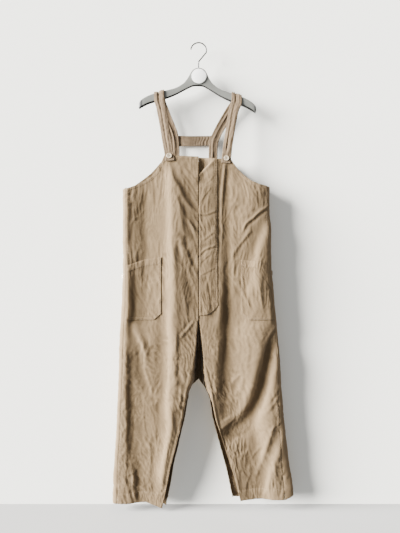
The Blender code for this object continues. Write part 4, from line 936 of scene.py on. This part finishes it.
def make_underlap(half, material):
    """The strip behind the placket."""
    u, v = np.meshgrid(shares_along(0.043, 0.0040), shares_along(0.540, 0.0045))
    x = FLY_EDGE + (UNDERLAP_EDGE - FLY_EDGE) * u
    top = top_of(LEFT, FRONT, x) - 0.001
    z = top + (UNDERLAP_FOOT_Z - top) * v
    edge = np.minimum.reduce([x - FLY_EDGE, UNDERLAP_EDGE - x, top - z, z - z.min()])
    lift, edge = -2 * CLOTH - LAYER_GAP, np.maximum(edge, 0)
    return make_layer("made_fly_underlap", half, x, z, lift, edge, material)


def strap_line(half):
    """A strap's stations: middle points, (width, slope, crease) and distances along it."""
    rows = np.array(STRAPS[half.side], float)
    rows /= [TENTH_MM, TENTH_MM, TENTH_MM, TENTH_MM, 1, TENTH_MM]
    across, along = np.meshgrid(np.linspace(-1, 1, 5), np.linspace(-STRAP_REST, STRAP_REST, 7))
    for number, (x, y, z, width, _, _) in enumerate(rows):
        if np.isnan(y):
            face, out = (FRONT, -1) if number < len(rows) / 2 else (BACK, 1)
            x = x + across * width / 2
            z = np.minimum(z + along, top_of(half.side, face, x) - 0.001)
            under = (out * half.cloth(z, half.turn_at(z, x, face))[0][..., 1]).max()
            rows[number, 1] = out * (under + SEAM_GAP + STRAP_CLOTH / 2)
    rows[:, 0] *= half.side
    rows = smooth_points(rows, 10)
    walk = walked(rows[:, :3])
    even = shares_along(walk[-1], 0.0026) * walk[-1]
    rows = read_off(even, walk, rows)
    return rows[:, :3], rows[:, 3:], even


def make_strap(half, material):
    """A strap, folded double, with creases along it, and the grid of its face and the ways out."""
    side = half.side
    centres, shapes, walk = strap_line(half)
    along = unit(np.gradient(centres, axis=0))
    slope = np.radians(shapes[:, 1])
    across = np.stack([np.cos(slope), np.zeros(len(slope)), np.sin(slope)], axis=1)
    across = unit(across - along * (across * along).sum(1, keepdims=True))
    out = unit(np.cross(across, along))
    u, s = np.meshgrid(shares_along(1.0, 0.075, 0.03) * 2 - 1, walk)
    width = shapes[:, :1] * (1 + 0.02 * noise(s / 0.03, 0.5, 61 + side))
    to_end, to_edge = np.minimum(s, walk[-1] - s), (1 - np.abs(u)) * width / 2
    free = smoothstep(0.030, 0.060, to_end)
    # the crease along the middle wanders from side to side, and so do the folds beside it
    middle = 0.30 * noise(s / 0.11, 3.5, 63 + side)
    height = shapes[:, 2:] * np.maximum(0.0, 1 - np.abs(u - middle)) ** 1.3 * 1.15
    fold_at = -0.46 + 0.10 * noise(s / 0.14, 1.5, 65 + side)
    deep = 0.85 + 0.5 * noise(s / 0.08, 8.5, 64 + side)
    for shift, rise, reach in ((0, 0.0010, 0.12), (0.30, -0.0036, 0.12), (0.95, 0.0012, 0.15)):
        height += free * deep * rise * np.exp(-np.abs(u - fold_at - shift) / reach)
    height += free * 0.0008 * noise(s / 0.090, u / 0.30, 66 + side)
    height += free * 0.0016 * (0.3 - np.abs(noise(s / 0.045 + 0.8 * u, u / 0.25, 67 + side)))
    height += 0.0007 * noise(s / 0.010, u / 0.3, 69 + side)
    sewn = to_edge - 0.004
    height += free * puckers(s, sewn, period=0.0080, reach=0.004, height=0.0003, seed=71 + side)
    height += free * 0.0010 * noise(s / 0.06, 5.5, 73 + side) * u**2
    roll = rounded(np.minimum(to_edge, to_end), STRAP_CLOTH, 0.0013)
    out_of_row = out[:, None, :]
    points = centres[:, None, :] + across[:, None, :] * (u * width / 2)[..., None]
    points = points + out_of_row * height[..., None]
    outer = points + out_of_row * (STRAP_CLOTH / 2 - roll)[..., None]
    inner = points - out_of_row * (STRAP_CLOTH / 2 - 0.5 * roll)[..., None]
    return shell(f"made_strap_{WORDS[side]}", outer, inner, material), outer, out


def make_crosspiece(material):
    """The band across the back straps: gathered into small pleats towards the wearer's left."""
    low, high = CROSS_ENDS
    u, v = np.meshgrid(shares_along(high - low, 0.0020), shares_along(0.037, 0.0020))
    x = low + (high - low) * u
    reach = (x - (low + high) / 2) / ((high - low) / 2)
    left, right = CROSS_HEIGHTS
    height = left + (right - left) * (1 + reach) / 2
    z = CROSS_TOP_Z - CROSS_SAG * (1 - reach**2) - height * v
    lean = (v - 0.5) * 0.006
    pleats = np.sin(2 * math.pi * ((x + lean) / 0.0105 + 0.5 * noise(x / 0.03, v * 2, 81)))
    ripple = 0.0011 * smoothstep(-0.045, 0.045, x) * pleats * (0.5 + 0.6 * v)
    ripple += 0.0007 * noise(x / 0.016, v * 3, 83)
    ripple *= smoothstep(0, 0.012, x - low) * smoothstep(0, 0.012, high - x)
    edge = np.minimum(np.minimum(u, 1 - u) * (high - low), v * (1 - v) * 0.03)
    roll = rounded(edge, STRAP_CLOTH, 0.0013)
    y = CROSS_Y + ripple
    near = np.stack([x, y + 0.5 * roll, z], axis=-1)
    far = np.stack([x, y + STRAP_CLOTH - 0.7 * roll, z], axis=-1)
    return shell("made_crosspiece", near, far, material)


# --- Thread


def surface_tree(piece):
    corners = [list(polygon.vertices) for polygon in piece.data.polygons]
    return BVHTree.FromPolygons([vertex.co for vertex in piece.data.vertices], corners)


def line_between(points, step=0.001):
    """Even steps along a line of (x, z) points."""
    walk = walked(points)
    return read_off(np.arange(0, walk[-1], step), walk, points)


def offset_line(points, distance):
    """Even steps along a smoothed line of (x, z) points that is moved sideways by a distance."""
    points = smooth_points(points, 6)
    tangent = unit(np.gradient(points, axis=0))
    return line_between(points + tangent[:, ::-1] * [1, -1] * distance)


class Thread:
    """Stitches, as small rounded lozenges in one mesh, and the piece that they are sewn on."""

    def __init__(self, piece=None):
        self.vertices, self.faces = [], []
        self.tree = piece and surface_tree(piece)

    def stitch(self, a, b, out, width=0.00062, height=0.00042):
        along = b - a
        if along.length < 1e-5:
            return
        across = out.cross(along.normalized()).normalized() * (width / 2)
        up = out * height
        first = len(self.vertices)
        self.vertices.append(a - up * 0.2)
        for share in (0.22, 0.78):
            middle = a.lerp(b, share)
            self.vertices += [middle + across, middle + up, middle - across, middle - up * 0.3]
        self.vertices.append(b - up * 0.2)
        near, far, last = first + 1, first + 5, first + 9
        for step in range(4):
            following = (step + 1) % 4
            self.faces.append([first, near + following, near + step])
            self.faces.append([near + step, near + following, far + following, far + step])
            self.faces.append([last, far + step, far + following])

    def run(self, found, length=0.0027, gap=0.0008):
        """Stitches along a list of (point, out), whatever the spacing of its points."""
        start, previous, position = None, None, gap
        for point, out in found:
            if previous is not None:
                step = (point - previous).length
                position += step
                if step > 0.006:  # the line left the piece and came back
                    start, position = None, gap
            if start is None:
                if position >= gap:
                    start, position = point, 0.0
            elif position >= length:
                if (point - start).length < 2.5 * length:
                    self.stitch(start, point, out)
                start, position = None, 0.0
            previous = point

    def sew(self, line, from_front=True):
        """Stitches where level rays meet the piece at the (x, z) points of a line."""
        way = Vector((0, 1 if from_front else -1, 0))
        found = []
        for x, z in line:
            hit, normal, _, _ = self.tree.ray_cast(Vector((x, -0.4 * way.y, z - HOOK_TOP)), way)
            if hit is not None:
                out = normal if normal.dot(way) < 0 else -normal
                found.append((hit + Vector((0, 0, HOOK_TOP)), out))
        self.run(found)

    def make(self, name, material):
        return new_object(name, [tuple(v) for v in self.vertices], self.faces, material)


def stitch_panel(half, face, panel, material):
    """The topstitching of a front or back: along its top, its hem and its seams."""
    side, from_front, thread = half.side, face == FRONT, Thread(panel)
    top, hem = TOPS[side, face], HEMS[side]

    def sew_down(top_z, foot_z, x_at):
        z = np.arange(top_z, foot_z, -0.001)
        thread.sew(np.stack([side * x_at(z), z], axis=1), from_front)

    for distance in (0.0020, 0.0080):
        thread.sew(offset_line(top[1:], distance) * [side, 1], from_front)
    bib = [(0.002, top[0, 1] - 0.008), top[1] - [0.004, 0.008]]
    for line in (bib, smooth_points(hem + [0, HEM_TURN], 6)):
        thread.sew(line_between(line) * [side, 1], from_front)
    if from_front:
        for inset in (0.0022, 0.0080):
            sew_down(-0.535, hem[-1, 1] + 0.004, lambda z: half.side_edge(z) - inset)
        sew_down(-1.24, hem[0, 1] + 0.012, lambda z: half.inner_edge(z) + 0.0024)
    if side == RIGHT or not from_front:
        for inset in (0.0024, 0.0085):
            sew_down(-0.990 if from_front else -0.430, -1.20, lambda z: inset + 0 * z)
    return thread.make(f"stitching_{face}_{WORDS[side]}", material)


def stitch_pocket(side, pocket, material):
    """Two rows down the inner edge and along the foot, the mouth's hem and its bar tack."""
    thread = Thread(pocket)
    inner, mouth, foot = pocket_lines(side)
    knee_x, knee_z = foot[1]
    for inset in (0.0018, 0.0078):
        x = inner + inset
        line = [
            (x, height_on(mouth, x) - 0.002), (x, foot[0, 1] + 0.002),
            (knee_x + inset * 0.45, knee_z + inset), (0.300, knee_z + inset),
        ]
        thread.sew(line_between(line) * [side, 1])
    x = np.arange(inner + 0.001, 0.275, 0.001)
    thread.sew(np.stack([side * x, height_on(mouth, x) - 0.0215], axis=1))
    corner = [(0.002, -0.0015), (0.011, -0.0015), (0.0025, -0.014)]
    corner = np.array(corner) + [inner, height_on(mouth, inner)]
    thread.sew(line_between(corner) * [side, 1])
    return thread.make(f"stitching_pocket_{WORDS[side]}", material)


def stitch_placket(placket, material):
    thread = Thread(placket)
    for inset in (0.0018, 0.0085):
        line = [(FLY_STITCH - inset, -0.425), (FLY_STITCH - inset, -0.9485 + inset)]
        x = np.arange(FLY_STITCH - inset - 0.002, FLY_EDGE + 0.001, -0.001)
        thread.sew(line_between(line + list(zip(x, placket_foot(x) + inset))))
    x = FLY_EDGE + 0.0055
    thread.sew(line_between([(x, -0.484), (x, -0.978)]))
    return thread.make("stitching_placket", material)


def stitch_strap(side, grid, outs, material):
    """Two stitched edges on the strap's outside and inside, and a crossed box at its back end."""
    thread = Thread()
    outs = [Vector(out) for out in outs]
    last = grid.shape[1] - 1
    for share in (0.12, 0.88):
        column = grid[:, round(share * last)]
        line = [(Vector(point), out) for point, out in zip(column, outs)][3:-3]
        thread.run(line)
        thread.run([(point - out * STRAP_CLOTH, -out) for point, out in line])
    box = [row for row in range(len(outs) // 2 + 1, len(outs)) if grid[row, 0, 2] < STRAP_BOX_TOP_Z]
    for low, high in ((0.15, 0.85), (0.85, 0.15)):
        line = []
        for row in box[:-2]:
            share = low + (high - low) * (row - box[0]) / (box[-3] - box[0])
            line.append((Vector(grid[row, round(share * last)]), outs[row]))
        thread.run(line)
    row = box[0] - 1
    thread.run([(Vector(point), outs[row]) for point in grid[row, 2:-2]], length=0.0024)
    return thread.make(f"stitching_strap_{WORDS[side]}", material)


def stitch_crosspiece(cross, material):
    thread = Thread(cross)
    low, high = CROSS_ENDS
    lines = [[(low + 0.003, -drop), (high - 0.003, -drop)] for drop in (0.0035, 0.0330)]
    for x in (low + 0.003, low + 0.030, high - 0.003, high - 0.030):
        lines.append([(x, -0.004), (x, -0.034)])
    for line in lines:
        for from_front in (True, False):
            thread.sew(line_between(np.array(line) + [0, CROSS_TOP_Z]), from_front)
    return thread.make("stitching_crosspiece", material)


# --- Buttons, hanger and hook


def mesh_of(name, vertices, faces):
    mesh = bpy.data.meshes.new(name)
    mesh.from_pydata([tuple(vertex) for vertex in vertices], [], faces)
    work = bmesh.new()
    work.from_mesh(mesh)
    bmesh.ops.recalc_face_normals(work, faces=work.faces)
    work.to_mesh(mesh)
    work.free()
    return mesh


def turned(name, profile, sides):
    """A mesh turned about Z from an (r, z) profile in millimetres that ends on the axis."""
    profile = [(r / MM, z / MM) for r, z in profile]
    ring = profile[1:-1]
    vertices = [(0, 0, profile[0][1])]
    for r, z in ring:
        for step in range(sides):
            angle = 2 * math.pi * step / sides
            vertices.append((r * math.cos(angle), r * math.sin(angle), z))
    vertices.append((0, 0, profile[-1][1]))
    last, foot = len(vertices) - 1, len(vertices) - 1 - sides
    faces = []
    for step in range(sides):
        following = (step + 1) % sides
        faces.append([0, 1 + step, 1 + following])
        faces.append([last, foot + following, foot + step])
        for a in range(1, foot, sides):
            b = a + sides
            faces.append([a + step, b + step, b + following, a + following])
    return mesh_of(name, vertices, faces)


def capped_tube(name, rings):
    """A mesh through rings of points, with a flat face over each end."""
    size = len(rings[0])
    vertices = [point for ring in rings for point in ring]
    faces = [list(range(size)), list(range(len(vertices) - 1, len(vertices) - size - 1, -1))]
    for a in range(0, len(vertices) - size, size):
        for step in range(size):
            following = (step + 1) % size
            faces.append([a + step, a + size + step, a + size + following, a + following])
    return mesh_of(name, vertices, faces)


def smooth_object(name, mesh, sharp, *materials):
    """An object shaded smooth, except at edges sharper than an angle."""
    mesh.materials.clear()
    for material in materials:
        mesh.materials.append(material)
    for polygon in mesh.polygons:
        polygon.use_smooth = True
    mesh.set_sharp_from_angle(angle=math.radians(sharp))
    return link(name, mesh)


def button_mesh():
    """A four-hole button: rounded rim, ring groove, dished middle and bevelled holes."""
    work = bmesh.new()
    for quarter in range(4):
        angle = math.radians(45 + 90 * quarter)
        x, y = BUTTON_HOLE_AT * math.cos(angle), BUTTON_HOLE_AT * math.sin(angle)
        bmesh.ops.create_cone(
            work, cap_ends=True, segments=20, radius1=0.00095, radius2=0.00105,
            depth=BUTTON_THICK * 3, matrix=Matrix.Translation((x, y, BUTTON_THICK / 2)),
        )
    drills = bpy.data.meshes.new("button_drills")
    work.to_mesh(drills)
    work.free()
    blank = link("button_blank", turned("button_blank", BUTTON_PROFILE, 56))
    cutter = link("button_cutter", drills)
    cut = blank.modifiers.new("holes", "BOOLEAN")
    cut.operation, cut.solver, cut.object = "DIFFERENCE", "EXACT", cutter
    depsgraph = bpy.context.evaluated_depsgraph_get()
    mesh = bpy.data.meshes.new_from_object(blank.evaluated_get(depsgraph))
    for helper in (blank, cutter):
        bpy.data.objects.remove(helper)
    return mesh


def facing_of(node):
    """The way a flat node faces, towards the front, from its own vertices."""
    points = np.array([vertex.co for vertex in node.data.vertices])
    facing = Vector(np.linalg.svd(points - points.mean(axis=0), full_matrices=False)[2][2])
    return -facing if facing.y > 0 else facing


def make_button(name, node, mesh, twist, material, thread_material, trees):
    """A button where its node is, down on the cloth, and crossed threads through its holes."""
    facing = facing_of(node)
    low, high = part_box(name)
    centre = Vector((np.array(low) + np.array(high)) / 2)
    hits = [tree.ray_cast(centre + facing * 0.05, -facing, 0.1) for tree in trees]
    seat = min((hit for hit in hits if hit[0]), key=lambda hit: hit[3])[0] + facing * 0.0005
    turn = facing.to_track_quat("Z", "Y").to_matrix().to_4x4()
    place = Matrix.Translation(seat) @ turn @ Matrix.Rotation(math.radians(twist), 4, "Z")
    mesh = mesh.copy()
    mesh.transform(place)
    button = smooth_object("made_" + name, mesh, 38, material)

    thread = Thread()
    for angle in (45, 135):
        for shift in (-0.00028, 0.0, 0.00028):
            ends = []
            for end in (angle, angle + 180):
                over_hole = Vector((BUTTON_HOLE_AT + 0.0002, shift, BUTTON_THICK - 0.00085))
                spot = Matrix.Rotation(math.radians(end), 3, "Z") @ over_hole
                ends.append(place @ spot + Vector((0, 0, HOOK_TOP)))
            thread.stitch(*ends, facing, width=0.0005, height=0.0006)
    return button, thread.make("thread_" + name, thread_material)


def hanger_place():
    """Where the hanger stands: leaning a little to one side about its disc."""
    pivot = Matrix.Translation(DISC_CENTRE)
    lean = Matrix.Rotation(math.radians(HANGER_TILT), 4, "Y")
    return Matrix.Translation((0, 0, -HOOK_TOP)) @ pivot @ lean @ pivot.inverted()


def make_hanger(material, tips_and_shade_material):
    """The moulded channel, open underneath, with rounded shoulders, dark tips and painted shade on
    its feet and inside the channel.
    """
    arm = smooth_points(np.array(HANGER_ARM) / TENTH_MM, 5)
    r, wall, lip = HANGER_TOP_ROUND, HANGER_WALL, HANGER_LIP
    rings = []
    for x, top, foot, depth, roof in np.vstack([arm[:0:-1] * [-1, 1, 1, 1, 1], arm]):
        angles, inside, roof = np.linspace(math.pi / 2, 0, 7), depth - wall, top - roof
        # from the middle of the top down the outside, round the foot and up the inside
        half = [(depth - r + r * math.cos(a), top - r + r * math.sin(a)) for a in angles]
        half += [(depth, foot + lip), (depth - lip, foot), (inside + lip, foot)]
        half += [(inside, foot + lip), (inside, roof - 0.001), (inside - 0.001, roof)]
        rings.append([(x, y, z) for y, z in half] + [(x, -y, z) for y, z in half[::-1]])
    mesh = capped_tube("made_hanger_body", rings)
    mesh.transform(hanger_place())
    body = smooth_object("made_hanger_body", mesh, 40, material, tips_and_shade_material)
    for polygon in mesh.polygons:
        # the feet and the inside of the channel take the near-black material: painted shade
        under = polygon.index > 1 and 8 <= (polygon.index - 2) % len(rings[0]) <= 16
        polygon.material_index = int(under or abs(polygon.center.x) > HANGER_DARK_FROM)
    return body


def make_disc(white, rim_material):
    """The plain disc on the hanger's neck: a white face inside a narrow grey rim."""
    mesh = turned("made_hanger_disc", DISC_PROFILE, 72)
    disc = smooth_object("made_hanger_disc", mesh, 35, white, rim_material)
    for polygon in mesh.polygons:
        reach = math.hypot(polygon.center.x, polygon.center.y)
        polygon.material_index = int(reach > 0.0269 or polygon.center.z < 0.001)
    front = DISC_CENTRE + Vector((0, -HANGER_NECK_DEPTH - SEAM_GAP, 0))
    turn = Matrix.Rotation(math.radians(90), 4, "X")
    mesh.transform(hanger_place() @ Matrix.Translation(front) @ turn)
    return disc


def make_hook(material):
    """The wire hook, as a smooth tube with a rounded tip."""
    radius = CROOK_INNER_RADIUS + WIRE_RADIUS
    centre = Vector((0, 0, HOOK_TOP - CROOK_INNER_RADIUS))
    points = [
        centre + radius * Vector((math.cos(angle), 0, math.sin(angle)))
        for angle in np.radians(np.linspace(*CROOK_ANGLES, 72))
    ]
    tail = smooth_points([tuple(points[-8])] + HOOK_FOOT, 10)
    points = points[:-8] + [Vector(point) for point in tail]
    side, rings = Vector((0, 1, 0)), []
    angles = [2 * math.pi * step / 20 for step in range(20)]
    for number, point in enumerate(points):
        before, after = points[max(number - 1, 0)], points[min(number + 1, len(points) - 1)]
        along = (after - before).normalized()
        up = along.cross(side).normalized()
        tip = ((0.0010, 0.45), (0.0005, 0.85)) if number == 0 else ()
        for back, share in (*tip, (0.0, 1.0)):
            middle, size = point - along * back, WIRE_RADIUS * share
            ring = [size * (side * math.cos(angle) + up * math.sin(angle)) for angle in angles]
            rings.append([middle + spoke for spoke in ring])
    mesh = capped_tube("made_hanger_hook", rings)
    mesh.transform(Matrix.Translation((0, 0, -HOOK_TOP)))
    return smooth_object("made_hanger_hook", mesh, 50, material)


# --- Materials


class Nodes:
    """A material's nodes, with short ways to add and join them. In names, _ stands for a space."""

    def __init__(self, name, **constants):
        self.material = bpy.data.materials.new(name)
        self.material.use_nodes = True
        self.tree = self.material.node_tree
        self.shader = self.tree.nodes["Principled BSDF"]
        self.fill(self.shader, constants)
        self.place = self.add("ShaderNodeTexCoord").outputs["Object"]

    def fill(self, node, values):
        for key, value in values.items():
            name = key.replace("_", " ")
            if name in node.inputs:
                node.inputs[name].default_value = value
            else:
                setattr(node, key, value)

    def add(self, kind, **values):
        node = self.tree.nodes.new(kind)
        self.fill(node, values)
        return node

    def join(self, source, target):
        self.tree.links.new(source, target)

    def shade(self, **sources):
        """Joins sources to the shader's inputs, and gives the material."""
        for key, source in sources.items():
            self.join(source, self.shader.inputs[key.replace("_", " ")])
        return self.material

    def stretched(self, turn, scale=(1, 1, 1)):
        """The object's own coordinates, turned about Y and scaled."""
        node = self.add("ShaderNodeMapping", Rotation=(0, math.radians(turn), 0), Scale=scale)
        self.join(self.place, node.inputs["Vector"])
        return node.outputs["Vector"]

    def noise(self, scale, detail=2.0, roughness=0.5, vector=None):
        node = self.add("ShaderNodeTexNoise", Scale=scale, Detail=detail, Roughness=roughness)
        self.join(vector or self.place, node.inputs["Vector"])
        return node.outputs["Fac"]

    def ramp(self, value, low, high, dark, light):
        """Colours (or greys) from dark to light as value goes from low to high."""
        node = self.add("ShaderNodeValToRGB")
        for element, at, colour in zip(node.color_ramp.elements, (low, high), (dark, light)):
            element.position, element.color = at, (*np.broadcast_to(colour, 3), 1)
        self.join(value, node.inputs["Fac"])
        return node.outputs["Color"]

    def multiply(self, a, b):
        node = self.add("ShaderNodeMix", data_type="RGBA", blend_type="MULTIPLY")
        node.inputs[0].default_value = 1.0
        self.join(a, node.inputs[6])
        self.join(b, node.inputs[7])
        return node.outputs[2]

    def bump(self, height, strength, distance, before=None):
        node = self.add("ShaderNodeBump", Strength=strength, Distance=distance)
        self.join(height, node.inputs["Height"])
        if before:
            self.join(before, node.inputs["Normal"])
        return node.outputs["Normal"]


def make_twill(name, colour):
    """Washed cotton twill: steep diagonal ribs, slubs, a soft mottle, faded turned edges, painted
    highlight and painted shade.
    """
    sheen = {"Sheen_Weight": 0.08, "Sheen_Roughness": 0.45, "Sheen_Tint": (1.0, 0.93, 0.82, 1)}
    n = Nodes(name, Specular_IOR_Level=0.12, **sheen)
    slubs = n.noise(1.0, vector=n.stretched(-58, (900, 900, 90)))
    fade_and_painted_shade = n.add("ShaderNodeAttribute", attribute_name="fade_and_painted_shade").outputs["Fac"]
    colour = np.array(colour)
    base = n.ramp(n.noise(7.0, 3.0, 0.6), 0.30, 0.72, colour * 0.92, colour * 1.07)
    for value, low, high, dark, light in (
        (n.noise(34.0, 3.0, 0.65), 0.3, 0.7, (0.955, 0.95, 0.94), (1.03, 1.03, 1.035)),
        (slubs, 0.25, 0.75, (0.90, 0.90, 0.89), 1.08),
        # fading, with painted highlight on ridges and painted shade in hollows, from the relief
        # attribute
        (fade_and_painted_shade, 0.0, 1.0, (0.77, 0.76, 0.74), (1.42, 1.44, 1.48)),
    ):
        base = n.multiply(base, n.ramp(value, low, high, dark, light))
    wave = {"wave_type": "BANDS", "bands_direction": "X", "Scale": 190.0}
    rib = n.add("ShaderNodeTexWave", **wave, Distortion=0.6, Detail=1.0, Detail_Scale=40.0)
    n.join(n.stretched(32), rib.inputs["Vector"])
    normal = n.bump(rib.outputs["Fac"], 0.32, 0.0004)
    normal = n.bump(n.noise(900.0, 2.0, 0.6), 0.22, 0.0004, normal)
    normal = n.bump(n.noise(95.0, 3.0, 0.6), 0.20, 0.0012, normal)
    return n.shade(Base_Color=base, Normal=normal, Roughness=n.ramp(slubs, 0.2, 0.8, 0.80, 0.93))


def make_thread_material(name, colour):
    n = Nodes(name, Roughness=0.7, Sheen_Weight=0.1)
    base = n.ramp(n.noise(400.0), 0.3, 0.7, np.array(colour) * 0.85, colour)
    return n.shade(Base_Color=base, Normal=n.bump(n.noise(1500.0), 0.4, 0.0002))


def make_plastic(name, colour, roughness):
    """Moulded plastic: a fine grain, faint cloudiness and a roughness that varies a little."""
    n = Nodes(name, Specular_IOR_Level=0.45)
    colour = np.array(colour)
    base = n.ramp(n.noise(40.0, 4.0), 0.3, 0.7, colour * 0.96, colour * 1.04)
    rough = n.ramp(n.noise(60.0, 3.0), 0.3, 0.7, roughness * 0.88, roughness * 1.15)
    normal = n.bump(n.noise(1320.0), 0.06, 0.0003)
    return n.shade(Base_Color=base, Roughness=rough, Normal=normal)


def make_horn(name):
    """A horn-coloured button: warm streaks under a semi-gloss face."""
    n = Nodes(name)
    streaks = n.noise(1.0, 3.0, 0.6, n.stretched(20, (160, 160, 520)))
    base = n.ramp(streaks, 0.3, 0.72, (0.25, 0.198, 0.133), (0.44, 0.372, 0.28))
    rough = n.ramp(streaks, 0.3, 0.7, 0.28, 0.40)
    return n.shade(Base_Color=base, Roughness=rough, Normal=n.bump(streaks, 0.08, 0.0003))


def make_chrome(name):
    n = Nodes(name, Metallic=1.0)
    # a very dark base, so the wire reflects dimly: painted shade standing in for the dark
    # surroundings chrome reflects
    base = n.ramp(n.noise(60.0, 3.0), 0.3, 0.7, (0.030, 0.030, 0.031), (0.060, 0.060, 0.061))
    return n.shade(Base_Color=base, Roughness=n.ramp(n.noise(300.0), 0.3, 0.7, 0.26, 0.34))


def make_paint(name, colour, scale):
    n = Nodes(name, Roughness=0.9, Specular_IOR_Level=0.2)
    base = n.ramp(n.noise(1.5, 3.0), 0.3, 0.7, np.array(colour) * 0.985, colour)
    return n.shade(Base_Color=base, Normal=n.bump(n.noise(scale, 3.0), 0.03, 0.001))


def make_one_sided(material):
    """Lets a view from behind see through a backdrop."""
    tree = material.node_tree
    mix, clear = tree.nodes.new("ShaderNodeMixShader"), tree.nodes.new("ShaderNodeBsdfTransparent")
    facing = tree.nodes.new("ShaderNodeNewGeometry")
    tree.links.new(facing.outputs["Backfacing"], mix.inputs[0])
    tree.links.new(tree.nodes["Principled BSDF"].outputs[0], mix.inputs[1])
    tree.links.new(clear.outputs[0], mix.inputs[2])
    tree.links.new(mix.outputs[0], tree.nodes["Material Output"].inputs["Surface"])


# --- The scene


def add_backdrop(name, corners, material):
    mesh = bpy.data.meshes.new(name)
    mesh.from_pydata(corners, [], [[0, 1, 2, 3]])
    mesh.materials.append(material)
    plane = link(name, mesh)
    # it takes the garment's shadow, but neither blocks nor bounces light from any side
    plane.visible_diffuse = plane.visible_glossy = plane.visible_shadow = False


def add_sun(name, energy, angle, colour, direction):
    sun = bpy.data.lights.new(name, "SUN")
    sun.energy, sun.angle, sun.color = energy, math.radians(angle), colour
    light = link(name, sun)
    light.rotation_mode = "QUATERNION"
    light.rotation_quaternion = Vector(direction).to_track_quat("-Z", "Y")


def set_stage():
    """Wall, floor, light and camera."""
    wall = make_paint("wall_paint", (0.88, 0.885, 0.84), 260.0)
    floor = make_paint("floor_paint", (0.50, 0.50, 0.49), 120.0)
    make_one_sided(wall)
    y, z, far = WALL_Y, FLOOR_Z, 4
    add_backdrop("wall", [(-far, y, -3), (far, y, -3), (far, y, 3), (-far, y, 3)], wall)
    add_backdrop("floor", [(-far, -far, z), (far, -far, z), (far, far, z), (-far, far, z)], floor)
    add_sun("window", 37.0, 36, (1.0, 0.98, 0.94), (0.88, 0.31, -0.28))
    add_sun("far_window", 11.0, 18, (0.98, 0.985, 1.0), (0.84, -0.42, -0.02))
    world = bpy.data.worlds.new("studio")
    world.use_nodes = True
    world.node_tree.nodes["Background"].inputs["Color"].default_value = (1.0, 1.0, 1.0, 1)
    world.node_tree.nodes["Background"].inputs["Strength"].default_value = 0.60
    bpy.context.scene.world = world

    view = bpy.data.cameras.new("camera")
    view.sensor_fit, view.sensor_height = "VERTICAL", SENSOR_HEIGHT
    view.lens = SENSOR_HEIGHT * VIEW_DISTANCE / VIEW_HEIGHT
    camera = link("camera", view)
    camera.location = (0.005, -2.03, -0.8245)
    camera.rotation_euler = (math.radians(90), 0, 0)
    bpy.context.scene.camera = camera


def finish_piece(piece, slot, *nodes):
    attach(piece, "root")
    if nodes:
        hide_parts(*nodes)


def main():
    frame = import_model()
    set_stage()
    twill = make_twill("twill_khaki", (0.1295, 0.0900, 0.0500))
    strap_twill = make_twill("twill_strap", (0.116, 0.082, 0.051))
    thread = make_thread_material("thread_khaki", (0.21, 0.15, 0.09))
    grey = make_plastic("hanger_grey", (0.125, 0.128, 0.118), 0.42)
    # near black: the hanger's tips, and painted shade under its arms
    dark = make_plastic("hanger_tips_and_painted_shade", (0.02, 0.02, 0.02), 0.5)
    white = make_plastic("disc_white", (0.86, 0.86, 0.85), 0.33)
    horn, chrome = make_horn("button_horn"), make_chrome("hook_chrome")

    halves = {side: Half(side) for side in (RIGHT, LEFT)}
    panels, pockets, straps = {}, {}, {}
    for side, word in WORDS.items():
        for face, flat, area in ((FRONT, (0.335, 1.30), 0.32), (BACK, (0.42, 1.29), 0.40)):
            piece = panels[side, face] = make_panel(halves[side], face, twill)
            name = f"{face}_{word}"
            finish_piece(piece, "twill", name, name + "_thigh", name + "_shin")
        piece = pockets[side] = make_pocket(halves[side], twill)
        finish_piece(piece, "twill", f"pocket_{word}")
    placket = make_placket(halves[LEFT], twill)
    finish_piece(placket, "twill", "fly_placket")
    underlap = make_underlap(halves[LEFT], twill)
    finish_piece(underlap, "twill", "fly_underlap")
    for side, word in WORDS.items():
        piece, grid, outs = make_strap(halves[side], strap_twill)
        straps[side] = piece
        finish_piece(piece, "twill", f"strap_{word}")
        finish_piece(stitch_strap(side, grid, outs, thread), "twill")
    cross = make_crosspiece(strap_twill)
    finish_piece(cross, "twill", "crosspiece")
    for (side, face), panel in panels.items():
        finish_piece(stitch_panel(halves[side], face, panel, thread), "twill")
    for side, pocket in pockets.items():
        finish_piece(stitch_pocket(side, pocket, thread), "twill")
    finish_piece(stitch_placket(placket, thread), "twill")
    finish_piece(stitch_crosspiece(cross, thread), "twill")

    mesh = button_mesh()
    for number, name in enumerate(
        ("bib_button_right", "bib_button_left", "side_button_right", "side_button_left")
    ):
        node = frame["nodes"][name]
        cloths = straps if name.startswith("bib") else panels
        trees = [surface_tree(piece) for piece in cloths.values()]
        button, sewn = make_button(name, node, mesh, 12 + 31 * number, horn, thread, trees)
        finish_piece(button, "button", name)
        finish_piece(sewn, "twill")
    finish_piece(make_hanger(grey, dark), "hanger_grey", "hanger_body")
    finish_piece(make_disc(white, grey), "disc_white", "hanger_disc")
    finish_piece(make_hook(chrome), "chrome", "hanger_hook")
    for node in frame["nodes"].values():
        slots = {"hanger_grey": grey, "disc_white": white, "chrome": chrome, "button": horn}
        for place in node.material_slots:
            place.material = slots.get(place.material.name.split(".")[0], twill)


main()
